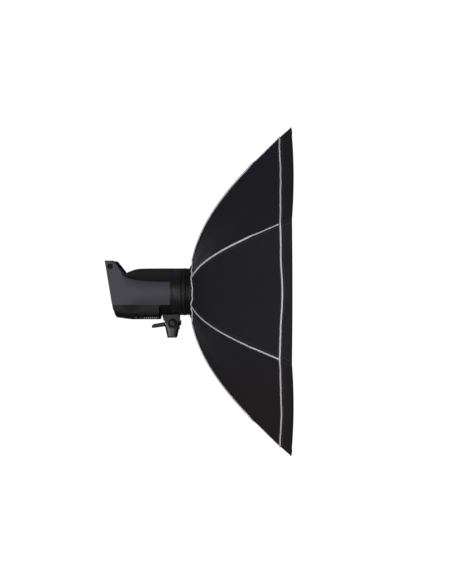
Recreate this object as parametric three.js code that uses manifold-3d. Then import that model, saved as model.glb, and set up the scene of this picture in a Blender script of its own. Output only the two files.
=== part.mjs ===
// An octagonal umbrella-type softbox on a mains studio flash head with its stand bracket.
// Millimetres. +X is the light's direction, +Z is up, and the origin is the centre of the
// stand socket's mouth. The softbox, the barrel and the lamps share one optical axis.

import * as THREE from 'three';
import { mergeVertices } from 'three/addons/utils/BufferGeometryUtils.js';
import Module from 'manifold-3d';

const wasm = await Module();
wasm.setup();

// ---------------------------------------------------------------- driving dimensions

const axisHeight = 135; // optical axis above the stand socket's mouth
const pivotHeight = 43; // tilt pivot above the mouth
const sides = 8; // of the softbox
const sideAngle = (2 * Math.PI) / sides;
const halfSide = sideAngle / 2;
const gap = 0.3; // kept between neighbouring solids

// canopy, along one rib: [distance along the axis, radius]
const hub = [58.7, 96];
const hubHandle = [90.8, 254.6];
const seamHandle = [217.3, 372.9];
const seam = [311.5, 470];
const frontEdge = [347.3, 500];
const clothThickness = 1.6;
const diffuserThickness = 1;
const canopySteps = 12;

const frontClothX = 318.5;
const frontClothRadius = 472;
const innerClothX = 205;
const innerClothRadius = 332;

const rodRadius = 2.5;
const rodDepth = 7.6; // rod's centre line below the canopy's ridge
const rodSteps = 10;
const rodStart = 0.028; // share of the rib where the rod begins
const rodEnd = 0.975;
const holderLength = 25;
const holderRadius = 4.3;
const holderBore = 3.3;
const holderBoreDepth = 9;
const holderNeck = 7; // from the hinge pin to where the sleeve is round
const eyeHalfWidth = 3.5;
const pinRadius = 2;
const hingeSetback = 7; // hinge pin behind the ridge's start, along the rod

// flash head
const barrelRadius = 69;
const barrelRear = -5;
const barrelFront = 27;
const collarFront = 41.2;
const bayonetFront = 50.9;
const neckRadius = 61.5;
const neckBore = 56.3;
const wall = 3;
const rearTilt = Math.atan2(24.2, 142); // of the rear panel from upright
const rearFoot = [-170.2, 81]; // where the rear face begins, [x, z]
const panelCentreZ = 123.5;
const panelHalfHeight = 41.5;
const panelHalfWidth = 58;
const sideBottom = 97; // grey side panels end here, over the bottom cover
const ventCount = 9;
const ventStart = -86.5;
const ventPitch = 5.875;
const ventWidth = 2.7;
const topCoverHalfWidth = 53.5; // between the handle's cheeks

// tilt bracket
const receiverRadius = 18.8;
const receiverHalfWidth = 15;
const socketRadius = 8.2;
const socketDepth = 50;
const trunnionRadius = 8;
const cheekInner = 15.5;
const cheekOuter = 21.5;

// ---------------------------------------------------------------- materials

function material(color, roughness, metalness = 0) {
  return new THREE.MeshStandardMaterial({ color, roughness, metalness });
}

const blackCloth = material(0x1b1b1f, 0.85);
const whiteCloth = material(0xe9e9e6, 0.8);
const rodSteel = material(0x8d9094, 0.35, 0.9);
const blackPlastic = material(0x1c1c1e, 0.5);
const greyPlastic = material(0x46444c, 0.5);
const greyRubber = material(0x2a2a2c, 0.8);
const castAluminium = material(0xb4b6b8, 0.4, 0.8);
const blackMetal = material(0x18181a, 0.45, 0.3);
const clearGlass = material(0xdfe7ea, 0.1);
const whiteCeramic = material(0xe6e3da, 0.5);
const greenBoard = material(0x1f5132, 0.6);
const capacitorSleeve = material(0x22324f, 0.4);

// ---------------------------------------------------------------- geometry helpers

// closed mesh with merged vertices, no empty triangles, and its faces pointing out
function closed(geometry) {
  const bare = geometry.clone();
  bare.deleteAttribute('normal');
  bare.deleteAttribute('uv');
  const merged = mergeVertices(bare, 1e-4);
  const at = merged.attributes.position;
  const index = merged.index.array;
  const corners = [new THREE.Vector3(), new THREE.Vector3(), new THREE.Vector3()];
  const faces = [];
  let volume = 0;
  for (let n = 0; n < index.length; n += 3) {
    const [a, b, c] = index.slice(n, n + 3);
    if (a === b || b === c || c === a) continue;
    corners.forEach((corner, k) => corner.fromBufferAttribute(at, index[n + k]));
    volume += corners[0].dot(corners[1].clone().cross(corners[2]));
    faces.push([a, b, c]);
  }
  const outward = volume < 0 ? faces.map(([a, b, c]) => [a, c, b]) : faces;
  merged.setIndex(outward.flat());
  return merged;
}

function solid(geometry) {
  const shape = closed(geometry);
  return new wasm.Manifold(
    new wasm.Mesh({
      numProp: 3,
      vertProperties: new Float32Array(shape.attributes.position.array),
      triVerts: new Uint32Array(shape.index.array),
    }),
  );
}

function geometryOf(manifold) {
  const mesh = manifold.getMesh();
  const geometry = new THREE.BufferGeometry();
  geometry.setAttribute('position', new THREE.BufferAttribute(mesh.vertProperties, 3));
  geometry.setIndex(new THREE.BufferAttribute(mesh.triVerts, 1));
  return geometry;
}

const join = (...shapes) => shapes.reduce((whole, shape) => whole.add(shape));
const cut = (whole, ...tools) => tools.reduce((rest, tool) => rest.subtract(tool), whole);

const polygon = (points) => new THREE.Shape(points.map(([x, y]) => new THREE.Vector2(x, y)));

function rectangle(x0, y0, x1, y1) {
  return polygon([[x0, y0], [x1, y0], [x1, y1], [x0, y1]]);
}

function roundedRectangle(x0, y0, x1, y1, radius) {
  const shape = new THREE.Shape();
  shape.moveTo(x0 + radius, y0);
  shape.absarc(x1 - radius, y0 + radius, radius, -Math.PI / 2, 0);
  shape.absarc(x1 - radius, y1 - radius, radius, 0, Math.PI / 2);
  shape.absarc(x0 + radius, y1 - radius, radius, Math.PI / 2, Math.PI);
  shape.absarc(x0 + radius, y0 + radius, radius, Math.PI, 1.5 * Math.PI);
  return shape;
}

function extrude(shape, depth, curveSegments = 6) {
  return new THREE.ExtrudeGeometry(shape, { depth, bevelEnabled: false, curveSegments });
}

// a shape drawn in X and Z, between two places along Y
function sidePlate(shape, y0, y1, curveSegments) {
  return extrude(shape, y1 - y0, curveSegments).rotateX(Math.PI / 2).translate(0, y1, 0);
}

// a shape drawn in Y and Z, between two places along X
function crossPlate(shape, x0, x1, curveSegments) {
  const turn = new THREE.Matrix4().makeBasis(
    new THREE.Vector3(0, 1, 0),
    new THREE.Vector3(0, 0, 1),
    new THREE.Vector3(1, 0, 0),
  );
  return extrude(shape, x1 - x0, curveSegments).applyMatrix4(turn).translate(x0, 0, 0);
}

// a shape drawn in X and Y, between two heights
function flatPlate(shape, z0, z1, curveSegments) {
  return extrude(shape, z1 - z0, curveSegments).translate(0, 0, z0);
}

const block = (x0, y0, z0, x1, y1, z1) => flatPlate(rectangle(x0, y0, x1, y1), z0, z1);

// turned about the X axis from a profile of [x, radius]
function turned(profile, segments = 32) {
  const points = profile.map(([x, radius]) => new THREE.Vector2(radius, x));
  return new THREE.LatheGeometry(points, segments).rotateZ(-Math.PI / 2);
}

// a ring about the X axis, from a closed profile
const ring = (profile, segments) => turned([...profile, profile[0]], segments);

function rod(radius, x0, x1, segments = 16) {
  return turned([[x0, 0], [x0, radius], [x1, radius], [x1, 0]], segments);
}

const rodAlongY = (radius, y0, y1, segments) => rod(radius, y0, y1, segments).rotateZ(Math.PI / 2);
const rodAlongZ = (radius, z0, z1, segments) => rod(radius, z0, z1, segments).rotateY(-Math.PI / 2);

function tube(path, radius, steps, roundness) {
  const section = new THREE.Shape();
  section.absarc(0, 0, radius, 0, 2 * Math.PI);
  return new THREE.ExtrudeGeometry(section, {
    steps,
    curveSegments: roundness,
    bevelEnabled: false,
    extrudePath: path,
  });
}

function part(name, geometry, finish) {
  const mesh = new THREE.Mesh(closed(geometry), finish);
  mesh.name = name;
  return mesh;
}

const cutPart = (name, manifold, finish) => part(name, geometryOf(manifold), finish);

// ---------------------------------------------------------------- softbox

const softbox = new THREE.Group();
softbox.position.z = axisHeight;

const rib = new THREE.CubicBezierCurve(
  new THREE.Vector2(...hub),
  new THREE.Vector2(...hubHandle),
  new THREE.Vector2(...seamHandle),
  new THREE.Vector2(...seam),
);

// unit vector from the ridge into the softbox
function inward(share) {
  const along = rib.getTangent(share);
  return new THREE.Vector2(along.y, -along.x);
}

// centre line of a rod, in the X-Z plane of its rib
class RodLine extends THREE.Curve {
  getPoint(share, target = new THREE.Vector3()) {
    const along = THREE.MathUtils.lerp(rodStart, rodEnd, share);
    const at = rib.getPoint(along).addScaledVector(inward(along), rodDepth);
    return target.set(at.x, 0, at.y);
  }
}

const rodFoot = rib.getPoint(0).addScaledVector(inward(0), rodDepth);
const footTangent = rib.getTangent(0);
const hinge = rodFoot.clone().addScaledVector(footTangent, -hingeSetback);

// one gore, with its front lip, for the side that faces up
function canopyPanel() {
  const middle = [];
  for (let n = 0; n <= canopySteps; n += 1) {
    const at = rib.getPoint(n / canopySteps);
    middle.push(new THREE.Vector2(at.x, at.y * Math.cos(halfSide)));
  }
  middle.push(new THREE.Vector2(frontEdge[0], frontEdge[1] * Math.cos(halfSide)));
  const under = middle.map((at, n) => {
    const before = middle[Math.max(n - 1, 0)];
    const after = middle[Math.min(n + 1, middle.length - 1)];
    const along = after.clone().sub(before).normalize();
    return new THREE.Vector2(at.x + along.y * clothThickness, at.y - along.x * clothThickness);
  });
  const band = new THREE.Shape([...middle, ...under.reverse()]);
  const reach = frontEdge[1] + 20;
  const apex = gap / 2 / Math.sin(halfSide);
  const spread = reach * Math.tan(halfSide);
  const wedge = polygon([[0, apex], [spread, apex + reach], [-spread, apex + reach]]);
  return geometryOf(
    solid(sidePlate(band, -spread, spread)).intersect(solid(crossPlate(wedge, 0, reach))),
  );
}

// pivoting sleeve that holds a rod
function rodHolder() {
  const eye = rodAlongY(4, -eyeHalfWidth, eyeHalfWidth);
  const neck = block(1, -eyeHalfWidth, -3, holderNeck + 1, eyeHalfWidth, 3);
  const barrel = rod(holderRadius, holderNeck, holderLength, 12);
  const rodBore = rod(holderBore, holderLength - holderBoreDepth, holderLength + 1, 12);
  const pinBore = rodAlongY(pinRadius + gap, -eyeHalfWidth - 1, eyeHalfWidth + 1);
  const lean = -Math.atan2(footTangent.y, footTangent.x);
  const whole = cut(join(...[eye, neck, barrel].map(solid)), solid(rodBore), solid(pinBore));
  return geometryOf(whole).rotateY(lean).translate(hinge.x, 0, hinge.y);
}

// flat octagonal cloth, corners in line with the ribs
function octagonCloth(x, radius) {
  const corners = [];
  for (let n = 0; n < sides; n += 1) {
    const angle = (n + 0.5) * sideAngle;
    corners.push([radius * Math.sin(angle), radius * Math.cos(angle)]);
  }
  return crossPlate(polygon(corners), x, x + diffuserThickness);
}

// ring that turns on the insert and carries the rods' hinges
function rotor() {
  const ringRear = 56.5;
  const ringFront = 69.5;
  const flangeFront = 58.2;
  const bore = 72.4;
  const outside = 83;
  const flange = 87.6;
  const earTop = 91.6;
  const earInner = eyeHalfWidth + gap;
  const earOuter = earInner + 3;
  let whole = solid(ring([
    [ringRear, bore], [ringFront, bore], [ringFront, outside],
    [flangeFront, outside], [flangeFront, flange], [ringRear, flange],
  ], 40));
  for (let n = 0; n < sides; n += 1) {
    const angle = (n + 0.5) * sideAngle;
    const pieces = [
      block(flangeFront - 0.5, -earOuter, outside - 2, ringFront, -earInner, earTop),
      block(flangeFront - 0.5, earInner, outside - 2, ringFront, earOuter, earTop),
      rodAlongY(pinRadius, -earInner - 1, earInner + 1, 12).translate(hinge.x, 0, hinge.y),
    ];
    whole = join(whole, ...pieces.map((piece) => solid(piece.rotateX(angle))));
  }
  return whole;
}

// bayonet insert: rear flange, bearing sleeve, front lip and three claws
function insert() {
  const flangeRear = bayonetFront + 0.4;
  const flangeFront = 56.1;
  const lipRear = 69.9;
  const lipFront = 72.5;
  const clawRear = 44;
  const clawOut = neckBore - 0.8;
  const clawIn = clawOut - 5;
  const body = ring([
    [flangeRear, clawIn], [flangeFront, clawIn], [flangeFront, 66], [lipFront, 66],
    [lipFront, 77], [lipRear, 77], [lipRear, 72], [flangeFront, 72],
    [flangeFront, 76.5], [flangeRear, 76.5],
  ], 40);
  let whole = solid(body);
  const clawSpan = 0.5;
  for (let n = 0; n < 3; n += 1) {
    const start = (n * 2 * Math.PI) / 3;
    const arc = new THREE.Shape();
    arc.absarc(0, 0, clawOut, start, start + clawSpan);
    arc.absarc(0, 0, clawIn, start + clawSpan, start, true);
    whole = join(whole, solid(crossPlate(arc, clawRear, flangeRear + 1)));
  }
  return whole;
}

for (let n = 0; n < sides; n += 1) {
  const panel = part(`canopy_panel_${n + 1}`, canopyPanel(), blackCloth);
  panel.rotation.x = n * sideAngle;
  const rodMesh = part(`rod_${n + 1}`, tube(new RodLine(), rodRadius, rodSteps, 3), rodSteel);
  rodMesh.rotation.x = (n + 0.5) * sideAngle;
  const holder = part(`rod_holder_${n + 1}`, rodHolder(), blackPlastic);
  holder.rotation.x = (n + 0.5) * sideAngle;
  softbox.add(panel, rodMesh, holder);
}
softbox.add(
  part('front_diffuser', octagonCloth(frontClothX, frontClothRadius), whiteCloth),
  part('inner_diffuser', octagonCloth(innerClothX, innerClothRadius), whiteCloth),
  cutPart('speedring_rotor', rotor(), blackMetal),
  cutPart('speedring_insert', insert(), castAluminium),
);

// ---------------------------------------------------------------- lamp end of the flash head

const lampEnd = new THREE.Group();
lampEnd.position.z = axisHeight;

const bore = barrelRadius - 5;
const shoulder = barrelFront - 5;
lampEnd.add(
  part('front_barrel', ring([
    [barrelRear, bore], [shoulder, bore], [shoulder, neckBore], [collarFront, neckBore],
    [collarFront, neckRadius], [barrelFront, neckRadius], [barrelFront, barrelRadius],
    [barrelRear, barrelRadius],
  ], 48), blackPlastic),
  part('locking_collar', ring([
    [barrelFront + 0.4, neckRadius + gap], [collarFront - 0.2, neckRadius + gap],
    [collarFront - 0.2, barrelRadius], [collarFront - 1.2, barrelRadius + 0.6],
    [barrelFront + 1.4, barrelRadius + 0.6], [barrelFront + 0.4, barrelRadius],
  ], 48), blackMetal),
  part('bayonet_ring', ring([
    [collarFront + gap, neckBore], [bayonetFront, neckBore], [bayonetFront, barrelRadius],
    [collarFront + gap, barrelRadius],
  ], 48), blackMetal),
);

const baseFront = collarFront - gap;
const baseRear = baseFront - 5;
const domeRadius = 40;
const domeNose = 105;
const domeStraight = 70;

function dome(radius, nose) {
  const points = [];
  for (let n = 0; n <= 8; n += 1) {
    const angle = (n / 8) * (Math.PI / 2);
    points.push([
      domeStraight + (nose - domeStraight) * Math.sin(angle),
      radius * Math.cos(angle),
    ]);
  }
  points[8][1] = 0;
  return points;
}

const glassOutside = [[baseFront + gap, domeRadius], ...dome(domeRadius, domeNose)];
const glassInside = [[baseFront + gap, domeRadius - 2], ...dome(domeRadius - 2, domeNose - 2)];

// ring-shaped flash tube with its two legs
function flashTube() {
  const radius = 24;
  const plane = 64;
  const points = [];
  const from = -Math.PI / 2 + 0.35;
  const to = (3 * Math.PI) / 2 - 0.35;
  for (let n = 0; n <= 14; n += 1) {
    const angle = THREE.MathUtils.lerp(from, to, n / 14);
    points.push(new THREE.Vector3(plane, radius * Math.cos(angle), radius * Math.sin(angle)));
  }
  const legs = [points[0], points[14]].map((end) => [
    new THREE.Vector3(baseFront + gap, end.y, end.z),
    new THREE.Vector3(plane - 9, end.y, end.z),
  ]);
  return new THREE.CatmullRomCurve3([...legs[0], ...points, ...legs[1].reverse()]);
}

lampEnd.add(
  part('lamp_base', turned([
    [baseRear, 0], [baseRear, neckBore - gap], [baseFront, neckBore - gap], [baseFront, 0],
  ], 40), whiteCeramic),
  part('glass_dome', turned([...glassInside.reverse(), ...glassOutside], 32), clearGlass),
  part('flash_tube', tube(flashTube(), 3.5, 36, 4), clearGlass),
  part('modelling_lamp', turned([
    [baseFront + gap, 0], [baseFront + gap, 9], [56, 9], [58, 6], [84, 6], [89, 4], [91, 0],
  ], 16), clearGlass),
);

// ---------------------------------------------------------------- casing of the flash head

const casing = new THREE.Group();

// side view of the body without its handle, outside and inside its walls
const bodyOutline = [
  [-185.2, 168], rearFoot, [-163.4, 60.5], [-120, 54], [-37.3, 54], [-32.6, 60],
  [barrelRear, 60], [barrelRear, 206], [-106, 202], [-127, 195.2], [-137, 189.6], [-146, 168],
];
const hollowOutline = [
  [-181.5, 165], [-167.1, 81.5], [-160.6, 63.2], [-119.8, 57], [-38.5, 57], [-35.6, 60.4],
  [barrelRear + 1, 60.4], [barrelRear + 1, 206], [-106.4, 198.8], [-125.7, 192.4], [-134.6, 187.4],
  [-144, 165],
];
const handleOutline = [
  [-184, 160], [-194.6, 224], [-192.7, 226], [-172.6, 226], [-168.4, 222.6], [-146.8, 193.8],
  [-139.5, 181], [-128, 176], [-118, 170], [-118, 160],
];
// upper edge of the grey side panels, from the barrel back to the handle
const sideTop = [[-65, 164.5], [-94, 167.2], [-116, 171.3], [-130.5, 176.3], [-139.5, 181.3]];

// the round and the boxy volumes that make up the body, inset all round
function bodyVolume(inset) {
  const low = 54 + inset;
  const high = 204.5 - inset;
  const narrow = 58 - inset;
  const wide = 68 - inset;
  const drum = rod(barrelRadius - inset, -140 + inset, barrelRear + 1, 40);
  drum.translate(0, 0, axisHeight);
  const belly = roundedRectangle(-narrow, low, narrow, 150, 24 - inset);
  const rearBelly = roundedRectangle(-wide, low, wide, 150, 24 - inset);
  const back = roundedRectangle(-wide, 90, wide, high, 46 - inset);
  return join(
    solid(drum),
    solid(crossPlate(belly, -200 + inset, -32.6 - inset)),
    solid(crossPlate(rearBelly, -200 + inset, -115 - inset)),
    solid(crossPlate(back, -200 + inset, -112 - inset)),
  );
}

function shell() {
  const outside = bodyVolume(0).intersect(solid(sidePlate(polygon(bodyOutline), -80, 80)));
  const inside = bodyVolume(wall).intersect(solid(sidePlate(polygon(hollowOutline), -80, 80)));
  return cut(outside, inside);
}

// everything above the grey side panels, and the strip between the handle's cheeks
function topRegion(lower, halfWidth) {
  const front = barrelRear + 5;
  const edge = [[front, sideTop[0][1]], ...sideTop].map(([x, z]) => [x, z - lower]);
  const above = polygon([...edge, [-146, 230], [front, 230]]);
  const between = rectangle(-187, 150, -90, 230);
  return join(
    solid(sidePlate(above, -80, 80)),
    solid(sidePlate(between, -halfWidth, halfWidth)),
  );
}

function panelOpening(margin) {
  const low = panelCentreZ - panelHalfHeight - margin;
  const high = panelCentreZ + panelHalfHeight + margin;
  return solid(sidePlate(
    rectangle(-200, low, -160, high), -panelHalfWidth - margin, panelHalfWidth + margin,
  ));
}

const bottomRegion = (top) => solid(block(-200, -80, 0, barrelRear + 5, 80, top));

// a comb of slots across the belly
function ventSlots() {
  const slots = [];
  for (let n = 0; n < ventCount; n += 1) {
    const x = ventStart + n * ventPitch;
    slots.push(solid(block(x - ventWidth / 2, -80, 50, x + ventWidth / 2, 80, 60)));
  }
  return slots;
}

const bodyShell = shell();
const opening = panelOpening(gap);
const sidesOnly = cut(
  bodyShell, topRegion(gap, topCoverHalfWidth + gap), bottomRegion(sideBottom), opening,
);
for (const [name, y0, y1] of [['side_shell_near', -80, 0], ['side_shell_far', 0, 80]]) {
  const cheekY = y0 < 0 ? [-66, -topCoverHalfWidth - 1] : [topCoverHalfWidth + 1, 66];
  const half = sidesOnly.intersect(solid(block(-200, y0, 0, 0, y1, 240)));
  const cheek = cut(
    solid(sidePlate(polygon(handleOutline), ...cheekY)),
    topRegion(gap, topCoverHalfWidth + gap),
    opening,
  );
  casing.add(cutPart(name, join(half, cheek), greyPlastic));
}
casing.add(
  cutPart(
    'top_cover',
    cut(bodyShell.intersect(topRegion(0, topCoverHalfWidth)), opening),
    blackPlastic,
  ),
  cutPart(
    'bottom_cover',
    cut(bodyShell.intersect(bottomRegion(sideBottom - gap)), opening, ...ventSlots()),
    blackPlastic,
  ),
  part(
    'handle_grip',
    sidePlate(
      roundedRectangle(-191, 199, -165, 225.4, 9),
      -topCoverHalfWidth - 0.7,
      topCoverHalfWidth + 0.7,
      4,
    ),
    greyRubber,
  ),
);

// ---------------------------------------------------------------- controls on the rear panel

// in the panel's own frame: +X runs into the head, +Z up the panel's slope, x = 0 is the rear face
const rear = new THREE.Group();
rear.position.set(
  rearFoot[0] - Math.tan(rearTilt) * (panelCentreZ - rearFoot[1]), 0, panelCentreZ,
);
rear.rotation.y = -rearTilt;

const panelFace = 1.5;
const panelBack = 4.5;
const buttonSize = [10, 6];
const buttonPlaces = [[-33, 4], [-19, 4], [-5, 4], [9, 4]];
const dialPlace = [34, 16];
const switchPlace = [-34, -24];
const inletPlace = [2, -24];
const syncPlace = [36, -24];
const stemRadius = 3;
const rockerHalf = [7, 10];
const inletHalf = [14, 11];

function boxAt([y, z], halfY, halfZ, x0, x1) {
  return block(x0, y - halfY, z - halfZ, x1, y + halfY, z + halfZ);
}

function rearPanel() {
  const [buttonY, buttonZ] = buttonSize.map((size) => size / 2 + gap);
  const holes = [
    ...buttonPlaces.map((place) => boxAt(place, buttonY, buttonZ, 0, 10)),
    rod(stemRadius + gap, 0, 10).translate(0, ...dialPlace),
    boxAt(switchPlace, rockerHalf[0] + gap, rockerHalf[1] + gap, 0, 10),
    boxAt(inletPlace, inletHalf[0] - 2 + gap, inletHalf[1] - 2 + gap, 0, 10),
    rod(5 + gap, 0, 10).translate(0, ...syncPlace),
  ];
  const height = panelHalfHeight / Math.cos(rearTilt) - 1;
  const plate = block(panelFace, -panelHalfWidth, -height, panelBack, panelHalfWidth, height);
  return cut(solid(plate), ...holes.map(solid));
}

function dial() {
  const outline = new THREE.Shape();
  const flutes = 24;
  for (let n = 0; n < flutes; n += 1) {
    const radius = n % 2 ? 11 : 10.3;
    const angle = (n / flutes) * 2 * Math.PI;
    const to = [radius * Math.cos(angle), radius * Math.sin(angle)];
    if (n === 0) outline.moveTo(...to);
    else outline.lineTo(...to);
  }
  return join(solid(crossPlate(outline, -9, 1.2)), solid(rod(stemRadius, 1, 8)));
}

// rocker in its off position, its lower end pressed in
function rocker() {
  const [halfY, halfZ] = rockerHalf;
  const side = [[5, -6], [0.6, -halfZ + 1], [-1.2, 0], [-2.4, halfZ - 0.6], [5, halfZ - 2]];
  return sidePlate(polygon(side), -halfY, halfY);
}

function inlet() {
  const [halfY, halfZ] = inletHalf;
  const rim = boxAt(inletPlace, halfY, halfZ, -0.5, panelFace - gap);
  const body = boxAt(inletPlace, halfY - 2, halfZ - 2, 0, 20);
  const recess = boxAt(inletPlace, halfY - 3.5, halfZ - 3.5, -2, 16);
  return cut(join(solid(rim), solid(body)), solid(recess));
}

rear.add(cutPart('rear_panel', rearPanel(), blackPlastic));
rear.add(part('display_window', boxAt([-12, 24], 26, 11, 0, panelFace - gap), clearGlass));
buttonPlaces.forEach((place, n) => {
  const [halfY, halfZ] = buttonSize.map((size) => size / 2);
  rear.add(part(`push_button_${n + 1}`, boxAt(place, halfY, halfZ, -1.6, 4), greyRubber));
});
const dialMesh = cutPart('control_dial', dial(), blackPlastic);
dialMesh.position.set(0, ...dialPlace);
const rockerMesh = part('power_switch', rocker(), blackPlastic);
rockerMesh.position.set(0, ...switchPlace);
rear.add(dialMesh, rockerMesh, cutPart('mains_inlet', inlet(), blackPlastic));
rear.add(part('sync_socket', ring([
  [-0.5, 1.9], [14, 1.9], [14, 4.5], [1.2, 4.5], [1.2, 7], [-0.5, 7],
], 16).translate(0, ...syncPlace), blackMetal));

// ---------------------------------------------------------------- inside the flash head

const inside = new THREE.Group();
const deck = 86;

function capacitorBank() {
  const cans = [];
  for (const [y, z] of [[-21, 112], [21, 112], [0, 148]]) {
    cans.push(rod(19, -128, -48, 20).translate(0, y, z));
  }
  const clip = crossPlate(roundedRectangle(-36, deck + 4, 36, 150, 10), -92, -84);
  return join(solid(clip), ...cans.map(solid));
}

function circuitBoard() {
  const board = block(-152, -50, deck + gap + 5, -150, 50, 160);
  const transformer = block(-150.5, -22, deck + gap + 8, -132, 22, 134);
  return join(solid(board), solid(transformer));
}

function fanFrame() {
  const frame = cut(
    solid(block(-110, -30, 62, -50, 30, 76)),
    solid(rodAlongZ(28, 60, 78, 32).translate(-80, 0, 0)),
  );
  const strut = solid(block(-110, -2, 62, -50, 2, 64));
  return join(frame, strut);
}

function fanRotor() {
  const blades = [];
  for (let n = 0; n < 5; n += 1) {
    const blade = block(5, -5, 68.5, 26, 5, 70.5).translate(0, 0, -69.5).rotateX(0.4);
    blades.push(solid(blade.translate(0, 0, 70).rotateZ((n * 2 * Math.PI) / 5)));
  }
  return join(solid(rodAlongZ(10, 64.5, 75.5, 20)), ...blades);
}

const fanMesh = cutPart('fan_rotor', fanRotor(), blackPlastic);
fanMesh.position.x = -80;
inside.add(
  part('chassis_plate', block(-156, -52, deck, -38, 52, deck + 3), castAluminium),
  cutPart('capacitor_bank', capacitorBank(), capacitorSleeve),
  cutPart('circuit_board', circuitBoard(), greenBoard),
  cutPart('fan_frame', fanFrame(), blackPlastic),
  fanMesh,
);

// ---------------------------------------------------------------- tilt bracket

const bracket = new THREE.Group();
const underBarrel = axisHeight - barrelRadius;

// fork: two cheeks with eyes round the pivot, joined by a plate under the barrel
function fork() {
  const cheek = new THREE.Shape();
  cheek.moveTo(20, underBarrel + 2);
  cheek.lineTo(20, pivotHeight + 8);
  cheek.absarc(0, pivotHeight, 15.5, 0.15, Math.PI + 0.1, true);
  cheek.lineTo(-26.9, 52);
  cheek.lineTo(-30.6, underBarrel + 2);
  const clearance = solid(rod(barrelRadius + gap, -40, 40, 64).translate(0, 0, axisHeight));
  const bridge = block(-29, -cheekOuter, pivotHeight + 19.6, 4, cheekOuter, underBarrel + 2);
  const eyes = solid(rodAlongY(trunnionRadius + gap, -40, 40, 24).translate(0, 0, pivotHeight));
  return cut(
    join(
      solid(sidePlate(cheek, cheekInner, cheekOuter, 10)),
      solid(sidePlate(cheek, -cheekOuter, -cheekInner, 10)),
      solid(bridge),
    ),
    clearance,
    eyes,
  );
}

// receiver: tapered column, round top on the pivot, front boss, trunnions and the stand socket
function receiver() {
  const column = new THREE.Shape();
  column.moveTo(-16.4, 0);
  column.lineTo(11.6, 0);
  column.lineTo(13.6, 6);
  column.lineTo(17.6, 28);
  column.absarc(0, pivotHeight, receiverRadius, -0.7, Math.PI - 0.1);
  column.lineTo(-23.6, 37);
  column.lineTo(-22.6, 28);
  const boss = block(10, -9, 24, 20, 9, pivotHeight + 10);
  const trunnions = rodAlongY(trunnionRadius, -cheekOuter, cheekOuter, 24);
  const socket = rodAlongZ(socketRadius, -1, socketDepth, 24);
  const screwHole = rod(3.3, 5, 30, 16);
  return cut(
    join(
      solid(sidePlate(column, -receiverHalfWidth, receiverHalfWidth, 12)),
      solid(boss),
      solid(trunnions.translate(0, 0, pivotHeight)),
    ),
    solid(socket),
    solid(screwHole.translate(0, 0, lockHeight)),
  );
}

// clamp lever, drawn pointing to -X from the pivot
function lever() {
  const length = 59.6;
  const handle = new THREE.Shape();
  handle.absarc(-length, 0, 5.2, Math.PI / 2, 1.5 * Math.PI);
  handle.lineTo(0, -6);
  handle.lineTo(0, 6);
  const hubY = [cheekOuter + gap, cheekOuter + 12];
  const boss = rodAlongY(11, ...hubY, 24);
  return join(
    solid(sidePlate(handle, cheekOuter + 3, cheekOuter + 10, 6)),
    solid(boss),
  );
}

const lockHeight = 44;
const knobRear = 20.4;
const leverMesh = cutPart('tilt_lever', lever(), blackPlastic);
leverMesh.position.z = pivotHeight;
leverMesh.rotation.y = -THREE.MathUtils.degToRad(8.4);
bracket.add(
  cutPart('tilt_fork', fork(), blackMetal),
  cutPart('stand_receiver', receiver(), blackMetal),
  part('tilt_cap', turned([
    [cheekOuter + gap, 0], [cheekOuter + gap, 13.1], [cheekOuter + 4, 13.1],
    [cheekOuter + 6, 11], [cheekOuter + 6, 0],
  ], 24).rotateZ(-Math.PI / 2).translate(0, 0, pivotHeight), blackPlastic),
  leverMesh,
  part('stand_lock_screw', turned([
    [9.2, 0], [9.2, 3], [knobRear, 3], [knobRear, 7], [knobRear + 0.8, 8],
    [knobRear + 3.4, 8], [knobRear + 4, 7], [knobRear + 4, 0],
  ], 20).translate(0, 0, lockHeight), castAluminium),
);

// ---------------------------------------------------------------- the whole light

const light = new THREE.Group();
light.add(softbox, lampEnd, casing, rear, inside, bracket);

export default light;
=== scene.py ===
import math

import bmesh
import bpy
import numpy as np
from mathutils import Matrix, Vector, noise


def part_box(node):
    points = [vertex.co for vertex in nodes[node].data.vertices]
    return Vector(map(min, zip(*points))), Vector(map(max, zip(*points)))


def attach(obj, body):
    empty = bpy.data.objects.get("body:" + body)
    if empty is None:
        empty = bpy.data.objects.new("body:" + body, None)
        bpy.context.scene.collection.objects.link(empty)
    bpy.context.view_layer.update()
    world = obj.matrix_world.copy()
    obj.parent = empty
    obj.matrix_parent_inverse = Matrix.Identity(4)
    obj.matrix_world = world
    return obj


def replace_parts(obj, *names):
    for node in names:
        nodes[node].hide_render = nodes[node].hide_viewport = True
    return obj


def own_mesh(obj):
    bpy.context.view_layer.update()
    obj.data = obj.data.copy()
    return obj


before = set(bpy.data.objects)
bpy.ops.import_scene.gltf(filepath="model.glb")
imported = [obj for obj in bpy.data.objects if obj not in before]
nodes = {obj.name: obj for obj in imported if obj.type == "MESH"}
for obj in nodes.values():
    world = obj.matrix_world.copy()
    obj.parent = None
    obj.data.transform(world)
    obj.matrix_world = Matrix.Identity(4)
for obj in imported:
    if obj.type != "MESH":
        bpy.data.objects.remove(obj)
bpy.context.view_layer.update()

# Shapes are drawn in millimetres in the part's frame and made in metres.
# +X is the light's direction, +Z is up, and the stand socket's mouth is the origin.
MM = 0.001


def box_mm(node):
    """Lowest and highest corner of a CAD node, in millimetres."""
    return tuple(np.array(corner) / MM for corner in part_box(node))


# ------------------------------------------------------------ driving dimensions

BARREL_BOX = box_mm("front_barrel")
AXIS = (BARREL_BOX[0][2] + BARREL_BOX[1][2]) / 2  # height of the optical axis
BARREL_RADIUS = (BARREL_BOX[1][2] - BARREL_BOX[0][2]) / 2
PIVOT = (box_mm("tilt_cap")[0][2] + box_mm("tilt_cap")[1][2]) / 2
SIDES = 8
HALF = math.pi / SIDES

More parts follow.
